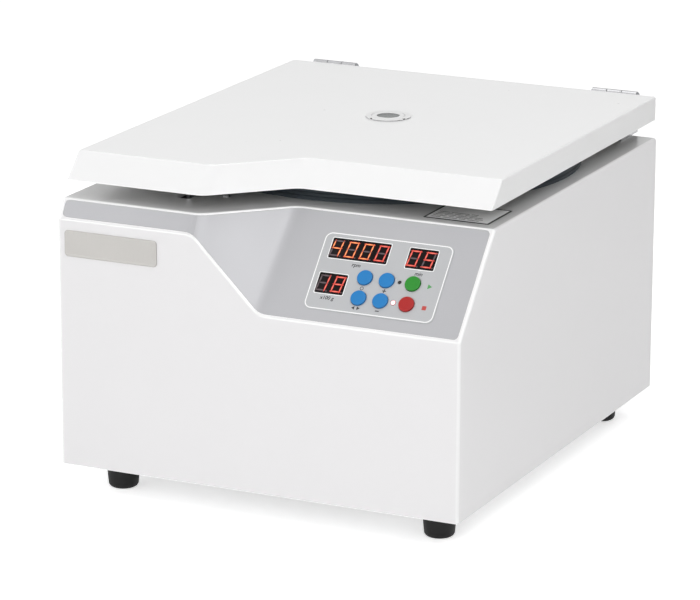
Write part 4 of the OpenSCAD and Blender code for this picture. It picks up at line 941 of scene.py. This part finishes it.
# Inlet: metal contacts and the screws of its flange
inlet_low, inlet_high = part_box("power_inlet")
INLET = (inlet_low + inlet_high) / 2
CONTACTS_X, CONTACTS_Z, CONTACTS_DEEP, FLANGE_SCREW_X = 8.3 * MM, 4.3 * MM, 18.5 * MM, 20 * MM
dress(finished["power_inlet"], finish["bright_steel"],
      lambda c, n: abs(c.x - INLET.x) < CONTACTS_X and abs(c.z - INLET.z) < CONTACTS_Z
      and c.y > inlet_high.y - CONTACTS_DEEP)
screw_low, screw_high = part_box("deck_screw")
upright = Matrix.Translation(-Vector(((screw_low.x + screw_high.x) / 2,
                                      (screw_low.y + screw_high.y) / 2, deck_top)))
lay_back = Matrix.Rotation(math.radians(-90), 4, "X")
for side, way in (("left", -1), ("right", 1)):
    place = Vector((INLET.x + way * FLANGE_SCREW_X, inlet_high.y, INLET.z))
    screw = copy_of(finished["deck_screw"], Matrix.Translation(place) @ lay_back @ upright)
    settle(screw, "inlet_screw_" + side, "bright_steel", "housing", smooth=0)

# White bezel over the rim of the glass
BEZEL_R, BEZEL_W, BEZEL_H, BEZEL_ROUND = 14.1, 4.3, 0.75, 0.25
disc(BEZEL_R, 64)
hollow(BEZEL_W)
settle(soften(lifted(BEZEL_H), BEZEL_ROUND), "window_bezel", "window_white", "lid",
       Matrix.Translation((SPINDLE.x, SPINDLE.y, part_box("sight_glass")[1].z)), smooth=0)


def struck(node, start, way):
    """Where a line first meets a node, with Z out of the face there."""
    mesh = nodes[node].data
    tree = BVHTree.FromPolygons([v.co for v in mesh.vertices], [p.vertices for p in mesh.polygons])
    place, normal = tree.ray_cast(Vector(start), Vector(way))[:2]
    return Matrix.Translation(place) @ normal.to_track_quat("Z", "Y").to_matrix().to_4x4()


# Marks on the rocker: a bar for on and a ring for off
rocker_low, rocker_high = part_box("power_rocker")
rocker_x = (rocker_low.x + rocker_high.x) / 2
rocker_h = rocker_high.z - rocker_low.z
UP_THE_ROCKER = {"on": 0.74, "off": 0.26}
ON_BAR, OFF_RING = (0.9, 3.6, 0.2, 3), (24, 1.9, 0.6)
for name, share in UP_THE_ROCKER.items():
    if name == "on":
        flat(*ON_BAR)
        sign = lifted(PRINT * 3)
    else:
        sign = plain_shape(*OFF_RING)
    spot = struck("power_rocker", (rocker_x, 1, rocker_low.z + share * rocker_h), (0, -1, 0))
    settle(sign, name + "_sign", "black_plastic", "power_rocker", spot, [white_ink])

# Plain numbers on the floors of the buckets, behind the middle
NUMBER_SIZE, NUMBER_BACK = 9, 20 * MM
for name, number in (("bucket_a", "1"), ("bucket_b", "2")):
    low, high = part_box(name)
    middle = (low + high) / 2
    spot = struck(name, (middle.x, middle.y + NUMBER_BACK, 1), (0, 0, -1))
    settle(written(number, NUMBER_SIZE, 0, PRINT * 2), name + "_number", "bucket_alloy", name,
           spot, [black_ink])


def slab(node, way):
    """How far along a way a board's two large faces are."""
    faces = [f for f in finished[node].data.polygons if abs(f.normal.dot(way)) > 0.99]
    ends = [max((f for f in faces if f.normal.dot(way) * side > 0), key=lambda f: f.area)
            for side in (-1, 1)]
    return [f.center.dot(way) for f in ends]


# Parts on the two boards, and the winding seen in the solenoid's windows
PROUD, SINK, CAN_TOP, COIL_SIDE = 0.2 * MM, (97.5, 139), 31 * MM, 10.5 * MM
black = finish["black_plastic"]
for node, way in (("control_board", OUT), ("drive_board", Vector((0, 0, 1)))):
    under, over = slab(node, way)
    dress(finished[node], black, lambda c, n: not under - PROUD < c.dot(way) < over + PROUD)
board_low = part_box("drive_board")[0]
sink_x = [board_low.x + x * MM for x in SINK]
dress(finished["drive_board"], finish["bright_steel"], lambda c, n: c.z > over + PROUD and (
    sink_x[0] < c.x < sink_x[1] or n.z > 0.9 and c.z > over + CAN_TOP))
coil_low, coil_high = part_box("lock_solenoid")
coil_y = (coil_low.y + coil_high.y) / 2
dress(finished["lock_solenoid"], copper,
      lambda c, n: abs(n.y) > 0.9 and abs(abs(c.y - coil_y) - COIL_SIDE) < 0.3 * MM)

# Finish
deselect()
